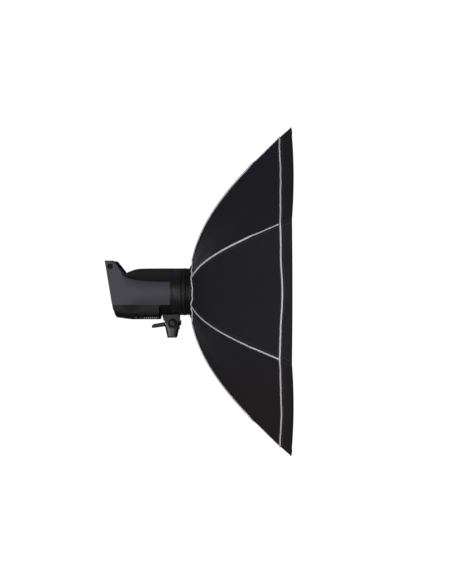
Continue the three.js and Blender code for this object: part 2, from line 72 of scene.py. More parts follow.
# one rib of the canopy, as [x, radius]: a curve from the hub to the rim seam, then the lip
HUB = (58.7, 96.0)
HUB_HANDLE = (90.8, 254.6)
SEAM_HANDLE = (217.3, 372.9)
SEAM = (311.5, 470.0)
LIP_CORNER = (344.5, 500.0)
RIB_HINGE = (64.76, 87.63)
FOLD_ANGLE = math.radians(60)
# how each gore's rim seam wanders forwards: at its middle, and back again halfway to the ribs
RIM_BOW = {1: 4.0, 2: 3.0, 3: 9.6, 4: 5.4, 5: 4.0, 6: 5.0, 7: 8.0, 8: 3.5}
RIM_DIP = {1: 0.6, 2: 0.0, 3: 4.6, 4: 0.0, 5: 1.0, 6: 0.0, 7: 2.0, 8: 0.8}
RIB_SEAM = {1: 2.7, 2: 5.2, 3: 3.4, 4: 4.6, 5: 4.0, 6: 5.0, 7: 4.5, 8: 3.5}  # the same at each rib
EDGE_BOW = {1: 4.0, 2: 5.5, 3: 1.2, 4: 5.5, 5: 4.0, 6: 4.5, 7: 3.0, 8: 4.0}  # of the front edge
HUB_BOW = {1: 7, 2: 6, 3: 15, 4: 7, 5: 8, 6: 9, 7: 12, 8: 7}  # of the hub's piping, along the cloth
ROD_POCKET_X = 238.0  # the rods' tips sit in pockets here
CLOTH = 0.6  # thickness
COLLAR_RADIUS = 78.6  # where the hub's collar grips the speed ring

FRONT_DIFFUSER_X = 318.5
FRONT_DIFFUSER_RADIUS = 471.0
INNER_DIFFUSER_X = 205.0
INNER_DIFFUSER_RADIUS = 331.0


# ------------------------------------------------------------ mesh helpers

def lerp(a, b, share):
    return a + (b - a) * share


def unit(vectors):
    return vectors / np.linalg.norm(vectors, axis=-1)[..., None]


def smooth_step(low, high, value):
    share = np.clip((value - low) / (high - low), 0, 1)
    return share * share * (3 - 2 * share)


def smooth_line(points, steps):
    """Points along a Catmull-Rom curve through the given points, by steps in each stretch."""
    given = np.array(points, float)
    ends = np.vstack([2 * given[0] - given[1], given, 2 * given[-1] - given[-2]])
    line = []
    for a, b, c, d in zip(ends, ends[1:], ends[2:], ends[3:]):
        for t in np.linspace(0, 1, steps, endpoint=False):
            line.append(0.5 * (2 * b + (c - a) * t + (2 * a - 5 * b + 4 * c - d) * t**2
                               + (3 * b - a - 3 * c + d) * t**3))
    line.append(given[-1])
    return np.array(line)


def rounded(value, power):
    """A sine or cosine whose circle is drawn out towards a square."""
    return np.sign(value) * np.abs(value) ** power


def spread(line, count):
    """The same line as that many evenly spaced points."""
    line = np.array(line, float)
    length = np.concatenate([[0], np.cumsum(np.linalg.norm(np.diff(line, axis=0), axis=1))])
    at = np.linspace(0, length[-1], count)
    return np.stack([np.interp(at, length, line[:, k]) for k in range(line.shape[1])], axis=1)


WELD = 0.02  # points closer than this are one


class Shape:
    """Vertices in millimetres and faces, gathered from grids, with optional UVs."""

    def __init__(self):
        self.points = []
        self.faces = []
        self.uvs = []

    def add(self, points, faces, uv=None):
        start = len(self.points)
        self.points.extend(np.asarray(points, float).reshape(-1, 3).tolist())
        self.faces.extend([tuple(start + k for k in face) for face in faces])
        if uv is not None:
            self.uvs.extend(np.asarray(uv, float).reshape(-1, np.shape(uv)[-1]).tolist())
        return self

    def grid(self, points, wrap=False, caps=False, uv=None):
        """A sheet of rows by columns; wrap joins the last column to the first."""
        points = np.asarray(points, float)
        rows, columns = points.shape[:2]
        faces = []
        for i in range(rows - 1):
            for j in range(columns if wrap else columns - 1):
                k = (j + 1) % columns
                here, ahead = i * columns, (i + 1) * columns
                faces.append((here + j, here + k, ahead + k, ahead + j))
        if caps:
            faces.append(tuple(reversed(range(columns))))
            faces.append(tuple((rows - 1) * columns + j for j in range(columns)))
        return self.add(points, faces, uv)

    def slab(self, outer, inner):
        """A closed body between two sheets of the same rows and columns."""
        outer, inner = np.asarray(outer, float), np.asarray(inner, float)
        rows, columns = outer.shape[:2]
        count = rows * columns
        faces = []
        for i in range(rows - 1):
            for j in range(columns - 1):
                a, b = i * columns + j, i * columns + j + 1
                c, d = b + columns, a + columns
                faces += [(a, b, c, d), (count + d, count + c, count + b, count + a)]
        rim = list(range(columns))
        rim += [i * columns + columns - 1 for i in range(1, rows)]
        rim += [(rows - 1) * columns + j for j in range(columns - 2, -1, -1)]
        rim += [i * columns for i in range(rows - 2, 0, -1)]
        for a, b in zip(rim, rim[1:] + rim[:1]):
            faces.append((b, a, count + a, count + b))
        return self.add(np.concatenate([outer.reshape(-1, 3), inner.reshape(-1, 3)]), faces)

    def mesh(self, name):
        """The shape as a mesh, with doubled points joined and its faces turned outwards."""
        mesh = bpy.data.meshes.new(name)
        mesh.from_pydata((np.array(self.points) * MM).tolist(), [], self.faces)
        if self.uvs:
            loops = np.array([loop.vertex_index for loop in mesh.loops])
            for n, layer_name in enumerate(("cloth", "edges")):
                uv = np.array(self.uvs)[loops, 2 * n:2 * n + 2]
                layer = mesh.uv_layers.new(name=layer_name)
                layer.data.foreach_set("uv", uv.astype(np.float32).ravel())
        joined = bmesh.new()
        joined.from_mesh(mesh)
        bmesh.ops.remove_doubles(joined, verts=joined.verts, dist=WELD * MM)
        bmesh.ops.recalc_face_normals(joined, faces=joined.faces)
        joined.to_mesh(mesh)
        joined.free()
        return mesh

    def made(self, name, look, body, slot):
        """The shape as a piece that rides on a body."""
        mesh = self.mesh(name)
        mesh.polygons.foreach_set("use_smooth", [True] * len(mesh.polygons))
        mesh.materials.append(look.material)
        piece = bpy.data.objects.new(name, mesh)
        bpy.context.scene.collection.objects.link(piece)
        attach(piece, body)
        return piece


def looped(name, rows, look, slot="black_plastic", body="head", caps=False):
    """A piece from rows of points, each row closing on itself."""
    return Shape().grid(rows, wrap=True, caps=caps).made(name, look, body, slot)


def crisp(piece):
    """Keeps a thin sheet's border and a cord's ends from shading round into its face."""
    mesh = piece.data
    sides = {}
    for polygon in mesh.polygons:
        for key in polygon.edge_keys:
            sides.setdefault(key, []).append(polygon.normal.copy())
    sharp = [len(sides.get(edge.key, [])) < 2 or sides[edge.key][0].dot(sides[edge.key][1]) < 0.5
             for edge in mesh.edges]
    attribute = mesh.attributes.get("sharp_edge")
    attribute = attribute or mesh.attributes.new("sharp_edge", "BOOLEAN", "EDGE")
    attribute.data.foreach_set("value", sharp)
    return piece


def bevel(piece, width, segments, angle=38):
    edges = piece.modifiers.new("rounded edges", "BEVEL")
    edges.width = width * MM
    edges.segments = segments
    edges.limit_method = "ANGLE"
    edges.angle_limit = math.radians(angle)
    edges.harden_normals = False
    weighted = piece.modifiers.new("flat faces stay flat", "WEIGHTED_NORMAL")
    weighted.keep_sharp = True
    return piece


def thicken(piece, thickness, lining=None):
    solid = piece.modifiers.new("thickness", "SOLIDIFY")
    solid.thickness = thickness * MM
    solid.offset = -1
    solid.use_even_offset = lining is None
    if lining:
        piece.data.materials.append(lining.material)
        solid.material_offset = 1
    return piece


def ring_points(profile, segments, axis="x", centre=(0, 0, 0), ripple=None):
    """Rows of points turned about an axis, from a profile of [along, radius]."""
    turn = np.linspace(0, 2 * math.pi, segments, endpoint=False)
    rows = []
    for n, (along, radius) in enumerate(profile):
        radii = radius + (ripple(n, turn) if ripple else 0 * turn)
        flat = np.stack([np.full(segments, along), radii * np.cos(turn), radii * np.sin(turn)], axis=1)
        order = {"x": [0, 1, 2], "y": [2, 0, 1], "z": [1, 2, 0]}[axis]
        rows.append(flat[:, order] + np.array(centre, float))
    return np.array(rows)


def turned(name, profile, look, body, slot, segments, axis="x", centre=(0, 0, 0), ripple=None):
    """A turned piece; a profile that ends off the axis closes on itself."""
    line = [*profile, profile[0]] if profile[0][1] > 0 else profile
    return looped(name, ring_points(line, segments, axis, centre, ripple), look, slot, body)


def rounded_profile(corners, radius, steps=3):
    """A closed profile with its corners rounded off."""
    line = []
    count = len(corners)
    for n, corner in enumerate(corners):
        here = np.array(corner, float)
        before = np.array(corners[n - 1], float) - here
        after = np.array(corners[(n + 1) % count], float) - here
        cut = min(radius, np.linalg.norm(before) * 0.45, np.linalg.norm(after) * 0.45)
        start = here + before / np.linalg.norm(before) * cut
        end = here + after / np.linalg.norm(after) * cut
        for t in np.linspace(0, 1, steps + 1):
            line.append(tuple((1 - t) ** 2 * start + 2 * t * (1 - t) * here + t**2 * end))
    return line


def swept(path, normals, half_widths, half_heights, sides=10):
    """A cord of oval section along a path, wide across it and high along its normals."""
    path, normals = np.asarray(path, float), np.asarray(normals, float)
    along = unit(np.gradient(path, axis=0))
    normals = unit(normals - (normals * along).sum(1)[:, None] * along)
    across = np.cross(along, normals)
    widths = np.broadcast_to(half_widths, len(path))
    heights = np.broadcast_to(half_heights, len(path))
    turn = np.linspace(0, 2 * math.pi, sides, endpoint=False)
    rows = (path[:, None] + across[:, None] * (widths[:, None] * np.cos(turn))[..., None]
            + normals[:, None] * (heights[:, None] * np.sin(turn))[..., None])
    return Shape().grid(rows, wrap=True, caps=True)


# ------------------------------------------------------------ materials

def linear(red, green, blue):
    """A colour given as it shows on a screen, from 0 to 255, as light."""
    return [((c / 255 + 0.055) / 1.055) ** 2.4 if c > 10 else c / 255 / 12.92 for c in (red, green, blue)]


class Look:
    """A material's node tree, built up from a Principled shader."""

    def __init__(self, name, roughness, metallic=0.0, specular=0.5, **constants):
        self.material = bpy.data.materials.new(name)
        self.material.use_nodes = True
        self.tree = self.material.node_tree
        self.tree.nodes.clear()
        self.shader = self.node("ShaderNodeBsdfPrincipled")
        self.shader.inputs["Roughness"].default_value = roughness
        self.shader.inputs["Metallic"].default_value = metallic
        self.shader.inputs["Specular IOR Level"].default_value = specular
        for socket, value in constants.items():
            self.shader.inputs[socket.replace("_", " ")].default_value = value
        output = self.node("ShaderNodeOutputMaterial")
        self.tree.links.new(self.shader.outputs[0], output.inputs[0])
        self.place = self.node("ShaderNodeTexCoord").outputs["Object"]
        self.normal = None

    def node(self, kind, inputs=None, **settings):
        made = self.tree.nodes.new(kind)
        for name, value in settings.items():
            setattr(made, name, value)
        for name, value in (inputs or {}).items():
            if isinstance(value, bpy.types.NodeSocket):
                self.tree.links.new(value, made.inputs[name])
            else:
                made.inputs[name].default_value = value
        return made

    def uv(self, name):
        return self.node("ShaderNodeUVMap", uv_map=name).outputs[0]

    def noise(self, size_mm, detail=3.0, stretch=None):
        """Soft noise from 0 to 1 with features of about that size."""
        where = self.place
        if stretch:
            where = self.node("ShaderNodeMapping", {"Vector": where, "Scale": stretch}).outputs[0]
        return self.node("ShaderNodeTexNoise", {
            "Vector": where, "Scale": 1 / (size_mm * MM), "Detail": detail, "Roughness": 0.55,
        }).outputs[0]
    def maths(self, operation, a, b=0.0):
        made = self.node("ShaderNodeMath", operation=operation)
        for socket, value in zip(made.inputs, (a, b)):
            if isinstance(value, bpy.types.NodeSocket):
                self.tree.links.new(value, socket)
            else:
                socket.default_value = value
        return made.outputs[0]

    def between(self, value, low, high):
        """The value from 0 to 1, spread from low to high."""
        return self.node("ShaderNodeMapRange", {
            "Value": value, "To Min": low, "To Max": high,
        }).outputs[0]

    def edge(self, value, at, softness):
        """0 below a place and 1 above it."""
        return self.node("ShaderNodeMapRange", {
            "Value": value, "From Min": at - softness, "From Max": at + softness,
        }, interpolation_type="SMOOTHSTEP").outputs[0]

    def mix(self, share, a, b):
        made = self.node("ShaderNodeMix", data_type="RGBA")
        for index, value in ((0, share), (6, a), (7, b)):
            if isinstance(value, bpy.types.NodeSocket):
                self.tree.links.new(value, made.inputs[index])
            elif index == 0:
                made.inputs[index].default_value = value
            else:
                made.inputs[index].default_value = (*value, 1)
        return made.outputs[2]

    def color(self, value):
        self.tree.links.new(value, self.shader.inputs["Base Color"])
        return self

    def roughness(self, value):
        self.tree.links.new(value, self.shader.inputs["Roughness"])
        return self

    def bump(self, height, distance_mm, strength):
        inputs = {"Height": height, "Distance": distance_mm * MM, "Strength": strength}
        if self.normal:
            inputs["Normal"] = self.normal
        self.normal = self.node("ShaderNodeBump", inputs).outputs[0]
        self.tree.links.new(self.normal, self.shader.inputs["Normal"])
        return self

    def worn(self, base, worn_color, amount):
        """The base colour, lighter along edges that hands and bags rub."""
        corner = self.node("ShaderNodeNewGeometry").outputs["Pointiness"]
        rubbed = self.maths("MULTIPLY", self.edge(corner, 0.56, 0.04), self.noise(9, 4))
        return self.mix(self.maths("MULTIPLY", rubbed, amount), base, worn_color)


def scaled(color, factor):
    return [min(1.0, c * factor) for c in color]


HEM = 0.0072  # from a seam to its row of stitches, in metres
STITCH = 0.0042  # one stitch and its gap
THREAD = 0.00055  # half a stitch's width


def woven(name, color, thread, roughness=0.85, uneven=0.16, crinkle=0.5, stitched=True, specular=0.12,
          metallic=0.0, painted_light_below=None):
    """Woven cloth: threads both ways along the cloth's own UVs, soft crinkles and rows of stitches.

    A colour given below a height, with the softness of its edge, tints the cloth beneath that height: painted
    light, for the light that falls on that cloth from below.
    """
    look = Look(name, roughness, specular=specular, metallic=metallic)
    across = look.node("ShaderNodeSeparateXYZ", {"Vector": look.uv("cloth")})
    threads = []
    for axis in (0, 1):
        turn = look.maths("MULTIPLY", across.outputs[axis], 2 * math.pi / (thread * MM))
        threads.append(look.maths("SINE", turn))
    weave = look.between(look.maths("MULTIPLY", *threads), 0.35, 0.65)
    cloudy = look.noise(55, 3)
    shade = look.mix(cloudy, scaled(color, 1 - uneven), scaled(color, 1 + uneven))
    shade = look.mix(look.maths("MULTIPLY", weave, 0.35), shade, scaled(color, 1.35))
    # painted light: below the given height the cloth takes another colour, for the light that falls on it
    # from below
    if painted_light_below:
        middle, softness, light_below_color = painted_light_below
        height = look.node("ShaderNodeSeparateXYZ", {"Vector": look.place}).outputs[2]
        shade = look.mix(look.edge(height, middle * MM, softness * MM), light_below_color, shade)
    if stitched:
        seams = look.node("ShaderNodeSeparateXYZ", {"Vector": look.uv("edges")})
        for axis in (0, 1):
            offset = look.maths("SUBTRACT", seams.outputs[axis], HEM)
            line = look.maths("LESS_THAN", look.maths("ABSOLUTE", offset), THREAD)
            dash = look.maths("FRACT", look.maths("MULTIPLY", across.outputs[1 - axis], 1 / STITCH))
            row = look.maths("MULTIPLY", line, look.maths("LESS_THAN", dash, 0.66))
            shade = look.mix(look.maths("MULTIPLY", row, 0.8), shade, linear(74, 74, 78))
            look.bump(row, 0.25, 0.8)
    look.color(shade)
    look.roughness(look.between(cloudy, roughness - 0.07, roughness + 0.07))
    look.bump(look.noise(38, 4), crinkle, 0.6)
    look.bump(look.noise(7, 3), crinkle * 0.12, 0.6)
    return look.bump(weave, 0.05, 0.5)


def moulded(name, color, roughness, grain=0.55, specular=0.5, wear=0.4, coat=0.0):
    """Moulded plastic or rubber: a fine spark-eroded grain, faint marbling, rubbed edges."""
    look = Look(name, roughness, specular=specular, Coat_Weight=coat, Coat_Roughness=0.2)
    marbled = look.mix(look.noise(24, 4), scaled(color, 0.9), scaled(color, 1.1))
    look.color(look.worn(marbled, [c * 1.6 + 0.02 for c in color], wear))
    look.roughness(look.between(look.noise(15, 4), roughness - 0.06, roughness + 0.06))
    return look.bump(look.noise(grain, 2), 0.035, 0.45)


def metal(name, color, roughness, brushed, metallic=1.0, specular=0.5):
    """Machined or coated metal with tool marks along one direction."""
    look = Look(name, roughness, metallic=metallic, specular=specular)
    marks = look.noise(0.9, 3, stretch=brushed)
    look.color(look.mix(marks, scaled(color, 0.86), scaled(color, 1.12)))
    look.roughness(look.between(look.noise(12, 4), roughness - 0.07, roughness + 0.09))
    return look.bump(marks, 0.02, 0.4)


# painted light: the canopy's bottom is tinted warmer and a shade lighter, for the light that falls on it from
# below, not a different cloth
canopy_cloth = woven("canopy_cloth", linear(30, 29, 34), 0.8, specular=0.06,
                     painted_light_below=(-90, 160, linear(33, 30, 30)))
lip_cloth = woven("lip_cloth", linear(25, 25, 26), 1.1, crinkle=0.8, stitched=False, specular=0.06)
silver_lining = woven("silver_lining", linear(168, 170, 174), 0.9, roughness=0.42, uneven=0.1, crinkle=0.9,
                      stitched=False, specular=0.5, metallic=0.75)
diffuser_cloth = woven("diffuser_cloth", linear(226, 226, 222), 0.9, roughness=0.75, uneven=0.03,
                       stitched=False, specular=0.25)
elastic_cloth = woven("elastic_cloth", linear(26, 26, 28), 2.0, crinkle=0.8, stitched=False)


def piping_look():
    """Reflective piping: a grey braid with fine slanted ribs."""
    look = Look("piping", 0.6, specular=0.3)
    ribs = look.noise(0.9, 2)
    cloudy = look.noise(26, 3)
    shade = look.mix(ribs, linear(164, 164, 168), linear(204, 204, 207))
    look.color(look.mix(look.maths("MULTIPLY", cloudy, 0.35), shade, linear(130, 130, 134)))
    look.roughness(look.between(cloudy, 0.5, 0.7))
    return look.bump(ribs, 0.12, 0.6)


piping = piping_look()
black_plastic = moulded("black_plastic", linear(17, 17, 18), 0.45, specular=0.16)
belly_plastic = moulded("belly_plastic", linear(13, 13, 14), 0.5, specular=0.1)
cast_black = moulded("cast_black", linear(9, 9, 10), 0.24, specular=0.2)
barrel_plastic = moulded("barrel_plastic", linear(16, 16, 19), 0.46, specular=0.16, wear=0.25)
grey_plastic = moulded("grey_plastic", linear(55, 53, 62), 0.5, specular=0.12)
soft_grip = moulded("soft_grip", linear(26, 26, 28), 0.78, grain=1.4, specular=0.15)
gloss_black = moulded("gloss_black", linear(9, 9, 10), 0.3, specular=0.22, coat=0.04)
black_metal = metal("black_metal", linear(15, 15, 17), 0.44, (1, 1, 1), 0.0, 0.14)
bare_aluminium = metal("bare_aluminium", linear(196, 198, 200), 0.34, (0.15, 1, 1))
rod_steel = metal("rod_steel", linear(172, 174, 178), 0.25, (0.1, 1, 1))
ceramic = moulded("white_insulator", linear(226, 222, 212), 0.45, grain=2, wear=0.05)
sleeve_blue = moulded("capacitor_sleeve", linear(36, 52, 92), 0.3, grain=3, wear=0.1)


def laminate():
    """Green circuit laminate with a faint grid of tracks."""
    look = Look("circuit_laminate", 0.45)
    cells = look.node("ShaderNodeTexVoronoi", {"Vector": look.place, "Scale": 240.0},
                      feature="DISTANCE_TO_EDGE", distance="MANHATTAN").outputs[0]
    track = look.edge(cells, 0.06, 0.01)
    look.color(look.mix(track, linear(70, 122, 84), linear(28, 78, 48)))
    return look.bump(track, 0.05, 0.5)


def clear(name, color, roughness, transmission):
    """Clear glass or acrylic with faint waves in its surface."""
    look = Look(name, roughness, Transmission_Weight=transmission, IOR=1.47)
    waves = look.noise(14, 2)
    look.color(look.mix(waves, scaled(color, 0.96), color))
    return look.bump(waves, 0.05, 0.3)


circuit_laminate = laminate()
lamp_glass = clear("clear_glass", [0.93, 0.95, 0.96], 0.04, 1.0)
dark_window = clear("dark_window", linear(22, 10, 12), 0.08, 0.15)


# ------------------------------------------------------------ canopy: the shape of one gore

def rib_curve(share):
    a, b, c, d = (np.array(p) for p in (HUB, HUB_HANDLE, SEAM_HANDLE, SEAM))
    t = np.asarray(share, float)[..., None]
    return a * (1 - t) ** 3 + 3 * b * t * (1 - t) ** 2 + 3 * c * t**2 * (1 - t) + d * t**3


RIB_TABLE = rib_curve(np.linspace(0, 1, 400))
RIB_TABLE = np.vstack([RIB_TABLE, LIP_CORNER])
RIB_LENGTHS = np.concatenate([[0], np.cumsum(np.linalg.norm(np.diff(RIB_TABLE, axis=0), axis=1))])
SEAM_LENGTH = RIB_LENGTHS[-2]
WHOLE_LENGTH = RIB_LENGTHS[-1]


def rib_at(length):
    """[x, radius] on the rib that far along the cloth from the hub."""
    return np.stack([np.interp(length, RIB_LENGTHS, RIB_TABLE[:, k]) for k in (0, 1)], axis=-1)


def azimuth_frame(angle):
    """Directions away from the axis and onwards round it, at an azimuth."""
    c, s = math.cos(angle), math.sin(angle)
    return np.array([0, -s, c]), np.array([0, -c, -s])


def strip_share(length):
    """How much of the gore's width the folded umbrella still has room for, at that length."""
    at = rib_at(length)
    half_width = at[..., 1] * math.sin(HALF)
    folded = (RIB_HINGE[1] - (at[..., 0] - RIB_HINGE[0]) * math.sin(FOLD_ANGLE)
              + (at[..., 1] - RIB_HINGE[1]) * math.cos(FOLD_ANGLE)) * math.sin(HALF)
    gap = lerp(0.6, 3.2, smooth_step(0, 60, length))
    return np.minimum(folded - gap, half_width - 0.8) / half_width


def uneven(point, size):
    return noise.noise(Vector(point) / size)


def cloth_length(gore, v, s):
    """Length along the cloth at v, 0 at the hub, 1 at the rim seam and 2 at the front edge."""
    at_ribs = lerp(RIB_SEAM[(gore - 2) % SIDES + 1], RIB_SEAM[gore], (s + 1) / 2)
    seam = SEAM_LENGTH + at_ribs + RIM_BOW[gore] * (1 - s * s) - RIM_DIP[gore] * np.sin(math.pi * s) ** 2
    return np.where(v <= 1, v * seam, seam + (v - 1) * (WHOLE_LENGTH - seam))


def gore_point(gore, v, s, lift=0.0):
    """A point of a gore's cloth, s from -1 to 1 across it."""
    v, s = np.broadcast_arrays(np.asarray(v, float), np.asarray(s, float))
    cross = 1 - s * s
    length = cloth_length(gore, v, s)
    at = rib_at(length)
    step = rib_at(length + 1.5) - rib_at(length - 1.5)
    along = unit(np.where(np.linalg.norm(step, axis=-1)[..., None] > 0, step, 1))
    sag = 4.2 * cross * np.sin(math.pi * np.clip(v, 0, 1)) ** 0.8
    flutes = np.sin(s * 9.4 + gore) * np.clip(1 - v / 0.35, 0, 1) * 0.9
    flutes = flutes + np.sin(s * 6.1 + v * 5 + gore * 2) * 0.7 * np.clip((v - 0.5) * 2, 0, 1)
    wave = np.zeros(v.shape)
    for index in np.ndindex(v.shape):
        spot = (v[index] * 3.1 + gore * 7.3, s[index] * 1.9, gore * 3.7)
        wave[index] = uneven(spot, 0.55) * 1.6 + uneven(spot, 0.2) * 0.5
    depth = sag + (flutes + wave) * np.minimum(cross * 2.5, 1) * np.clip((2 - v) * 4, 0, 1)
    x = at[..., 0] + EDGE_BOW[gore] * cross * np.clip(v - 1, 0, 1) + along[..., 1] * (depth - lift)
    middle = at[..., 1] * math.cos(HALF) - along[..., 0] * (depth - lift)
    away, round_it = azimuth_frame((gore - 1) * 2 * HALF)
    side = s * at[..., 1] * math.sin(HALF)
    return (x[..., None] * np.array([1, 0, 0]) + middle[..., None] * away
            + side[..., None] * round_it + np.array([0, 0, AXIS]))


def gore_uv(gore, v, s):
    """Cloth UVs in metres and the distances to the nearer rib and to the rim seam."""
    v, s = np.broadcast_arrays(np.asarray(v, float), np.asarray(s, float))
    length = cloth_length(gore, v, s)
    half_width = rib_at(length)[..., 1] * math.sin(HALF)
    to_rib = (1 - np.abs(s)) * half_width
    to_seam = np.abs(length - cloth_length(gore, np.ones(v.shape), s))
    return np.stack([s * half_width, length, to_rib, to_seam], axis=-1) * MM


CANOPY_ROWS = 34
LIP_ROWS = 5
ROWS_V = np.concatenate([np.linspace(0, 1, CANOPY_ROWS + 1), np.linspace(1, 2, LIP_ROWS + 1)[1:]])


def cloth_piece(name, sheets, body, thickness):
    """One cut of canopy cloth from grids of (gore, s from, s to), outside black and inside silver."""
    shape = Shape()
    for gore, low, high, columns in sheets:
        v = np.repeat(ROWS_V[:, None], columns + 1, axis=1)
        edge = strip_share(cloth_length(gore, ROWS_V, np.zeros(len(ROWS_V))))
        places = {"left": edge * 0 - 1, "strip left": -edge, "strip right": edge, "right": edge * 0 + 1}
        shares = np.linspace(0, 1, columns + 1)
        s = lerp(places[low][:, None], places[high][:, None], shares)
        points = gore_point(gore, v, s)
        shape.grid(points, uv=gore_uv(gore, v, s))
    piece = shape.made(name, canopy_cloth, body, "canopy_cloth")
    face_outwards(piece, azimuth_frame((sheets[0][0] - 1) * 2 * HALF)[0])
    crisp(piece)
    thicken(piece, thickness, silver_lining)
    return piece


def face_outwards(piece, direction):
    """Turns a sheet's faces to the side that the direction points to."""
    mesh = piece.data
    facing = sum(polygon.normal.dot(Vector(direction)) * polygon.area for polygon in mesh.polygons)
    if facing < 0:
        mesh.flip_normals()


def gore_line(gore, place, low, high, count, lift):
    """Points across a gore where place(gore, s) says, with their outward normals."""
    s = np.linspace(low, high, count)
    points = gore_point(gore, place(gore, s), s, lift)
    return points, gore_point(gore, place(gore, s), s, lift + 1) - points


# The three seams that run round the canopy: how far forwards each is, as v, at places s across a gore.

def at_hub(gore, s):
    return (3 + HUB_BOW[gore] * (1 - s * s)) / SEAM_LENGTH


def at_rim(gore, s):
    return np.ones(s.shape)


def at_front(gore, s):
    return np.full(s.shape, 2.0)


def edge_cord(name, place, half_width, half_height, lift, look):
    """A cord sewn round the canopy: a stretch across each gore, and one round each rib's corner."""
    for k in range(1, SIDES + 1):
        here = float(strip_share(cloth_length(k, place(k, np.ones(1)), np.ones(1)))[0])
        stretch = swept(*gore_line(k, place, -here, here, 17, lift), half_width, half_height)
        crisp(stretch.made(f"{name}_{k}", look, f"gore_{k}", "canopy_cloth"))
        before, before_normals = gore_line(k, place, here, 1, 14, lift)
        after, after_normals = gore_line(k % SIDES + 1, place, -1, -here, 14, lift)
        path = [*before[:-1], (before[-1] + after[0]) / 2, *after[1:]]
        normals = [*before_normals[:-1], (before_normals[-1] + after_normals[0]) / 2, *after_normals[1:]]
        corner = swept(path, normals, half_width, half_height)
        piece = crisp(corner.made(f"{name}_corner_{k}", look, f"rib_{k}", "canopy_cloth"))
        squash_to_rib(piece)


def squash_to_rib(piece):
    """Gives the piece a mesh of its own, shared with no other piece."""
    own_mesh(piece)


def make_canopy():
    for k in range(1, SIDES + 1):
        middle = [(k, "strip left", "strip right", 10)]
        strip = cloth_piece(f"gore_cloth_{k}", middle, f"gore_{k}", CLOTH)
        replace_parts(strip, f"canopy_panel_{k}")
        beside = [(k, "strip right", "right", 14), (k % SIDES + 1, "left", "strip left", 14)]
        flap = cloth_piece(f"rib_cloth_{k}", beside, f"rib_{k}", CLOTH / 2)
        squash_to_rib(flap)
    edge_cord("hub_piping", at_hub, 2.2, 1.9, 1.2, piping)
    edge_cord("rim_piping", at_rim, 2.6, 1.7, 0.9, piping)
    edge_cord("front_binding", at_front, 1.9, 1.5, -0.3, lip_cloth)


def rib_line(k, lengths):
    """Points that far along rib k, with their outward directions and places along the axis."""
    away = azimuth_frame((2 * k - 1) * HALF)[0]
    at = rib_at(lengths)
    along = unit(np.gradient(at, axis=0))
    outward = -along[:, 1:] * np.array([1, 0, 0]) + along[:, :1] * away
    points = at[:, :1] * np.array([1, 0, 0]) + at[:, 1:] * away + np.array([0, 0, AXIS])
    return points, outward, at[:, 0]


def make_rib_piping():
    """Piping along each rib: thick from the hub to the rod pocket, then thinner to the rim."""
    thick = {1: 4.0, 3: 1.9, 4: 4.0}
    thin = {1: 1.0, 3: 2.4, 4: 1.0}
    for k in range(1, SIDES + 1):
        lengths = np.linspace(12 if k == 2 else 5, SEAM_LENGTH - 1.5, 60)
        points, outward, x = rib_line(k, lengths)
        past = smooth_step(ROD_POCKET_X - 8, ROD_POCKET_X + 8, x)
        width = lerp(thick.get(k, 2.7), thin.get(k, 1.6), past)
        height = lerp(2.1, 1.1, past)
        kink = 1.4 * np.exp(-((x - ROD_POCKET_X) / 9) ** 2)
        points = points + outward * (0.55 * height + kink)[:, None]
        cord = swept(points, outward, width, height, 12)
        cord.made(f"rib_piping_{k}", piping, f"rib_{k}", "canopy_cloth")
        make_pocket(k)


def make_pocket(k):
    """A small folded patch of webbing sewn over the rod's tip."""
    middle = np.interp(ROD_POCKET_X, RIB_TABLE[:, 0], RIB_LENGTHS)
    points, outward, _ = rib_line(k, middle + np.linspace(-9, 9, 7))
    bulge = np.array([0.8, 1.0, 1.15, 1.2, 1.15, 1.0, 0.8])
    patch = swept(points - outward * 0.6, outward, 4.2 * bulge, 1.9 * bulge, 12)
    patch.made(f"rod_pocket_{k}", elastic_cloth, f"rib_{k}", "canopy_cloth")


def make_hub():
    """The elastic collar that grips the speed ring."""
    columns = 16 * SIDES
    s = np.linspace(-1, 1, 17)[:-1]
    axis = np.array([0, 0, AXIS])
    outer = np.concatenate([gore_point(gore, np.zeros(16), s, 0.6) for gore in range(1, SIDES + 1)]) - axis
    angle = np.arctan2(outer[:, 2], outer[:, 1])
    rear = box_mm("speedring_rotor")[0][0] - 1.0
    round_it = COLLAR_RADIUS * np.stack([np.cos(angle), np.sin(angle)], axis=1)
    inner = np.insert(round_it, 0, rear, axis=1)
    shares = np.linspace(0, 1, 7)[:, None, None]
    rows = lerp(inner, outer, shares) + axis
    rows[..., 0] -= 1.1 * np.sin(math.pi * shares[..., 0])
    uv = np.zeros((7, columns, 4))
    uv[..., 0] = np.arange(columns) * 0.004
    uv[..., 1] = np.linspace(0, 0.01, 7)[:, None]
    collar = Shape().grid(rows, wrap=True, uv=uv)
    piece = collar.made("hub_collar", elastic_cloth, "speedring_rotor", "canopy_cloth")
    face_outwards(piece, (-1, 0, 0))
    thicken(piece, CLOTH)


def make_diffuser(name, x, radius):
    """A flat octagon of white cloth in sixteen sectors."""
    for n in range(2 * SIDES):
        angles = np.linspace(n * HALF, (n + 1) * HALF, 7)
        side_middle = (n + 1) // 2 * 2 * HALF
        edge = radius * math.cos(HALF) / np.cos(angles - side_middle)
        shares = np.linspace(0, 1, 15)
        reach = shares[:, None] * edge
        ripple = 0.35 * np.sin(shares * 9)[:, None] * np.cos(angles * 8) * shares[:, None]
        points = np.stack([x + ripple, -reach * np.sin(angles), AXIS + reach * np.cos(angles)], axis=-1)
        uv = np.stack([points[..., 1], points[..., 2], edge - reach, edge - reach], axis=-1) * MM
        sector = Shape().grid(points, uv=uv)
        piece = sector.made(f"{name}_sector_{n + 1}", diffuser_cloth, "speedring_rotor", "diffuser_cloth")
        face_outwards(piece, (1, 0, 0))
        crisp(piece)
        thicken(piece, CLOTH)
        if n == 0:
            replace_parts(piece, name)
        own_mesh(piece)


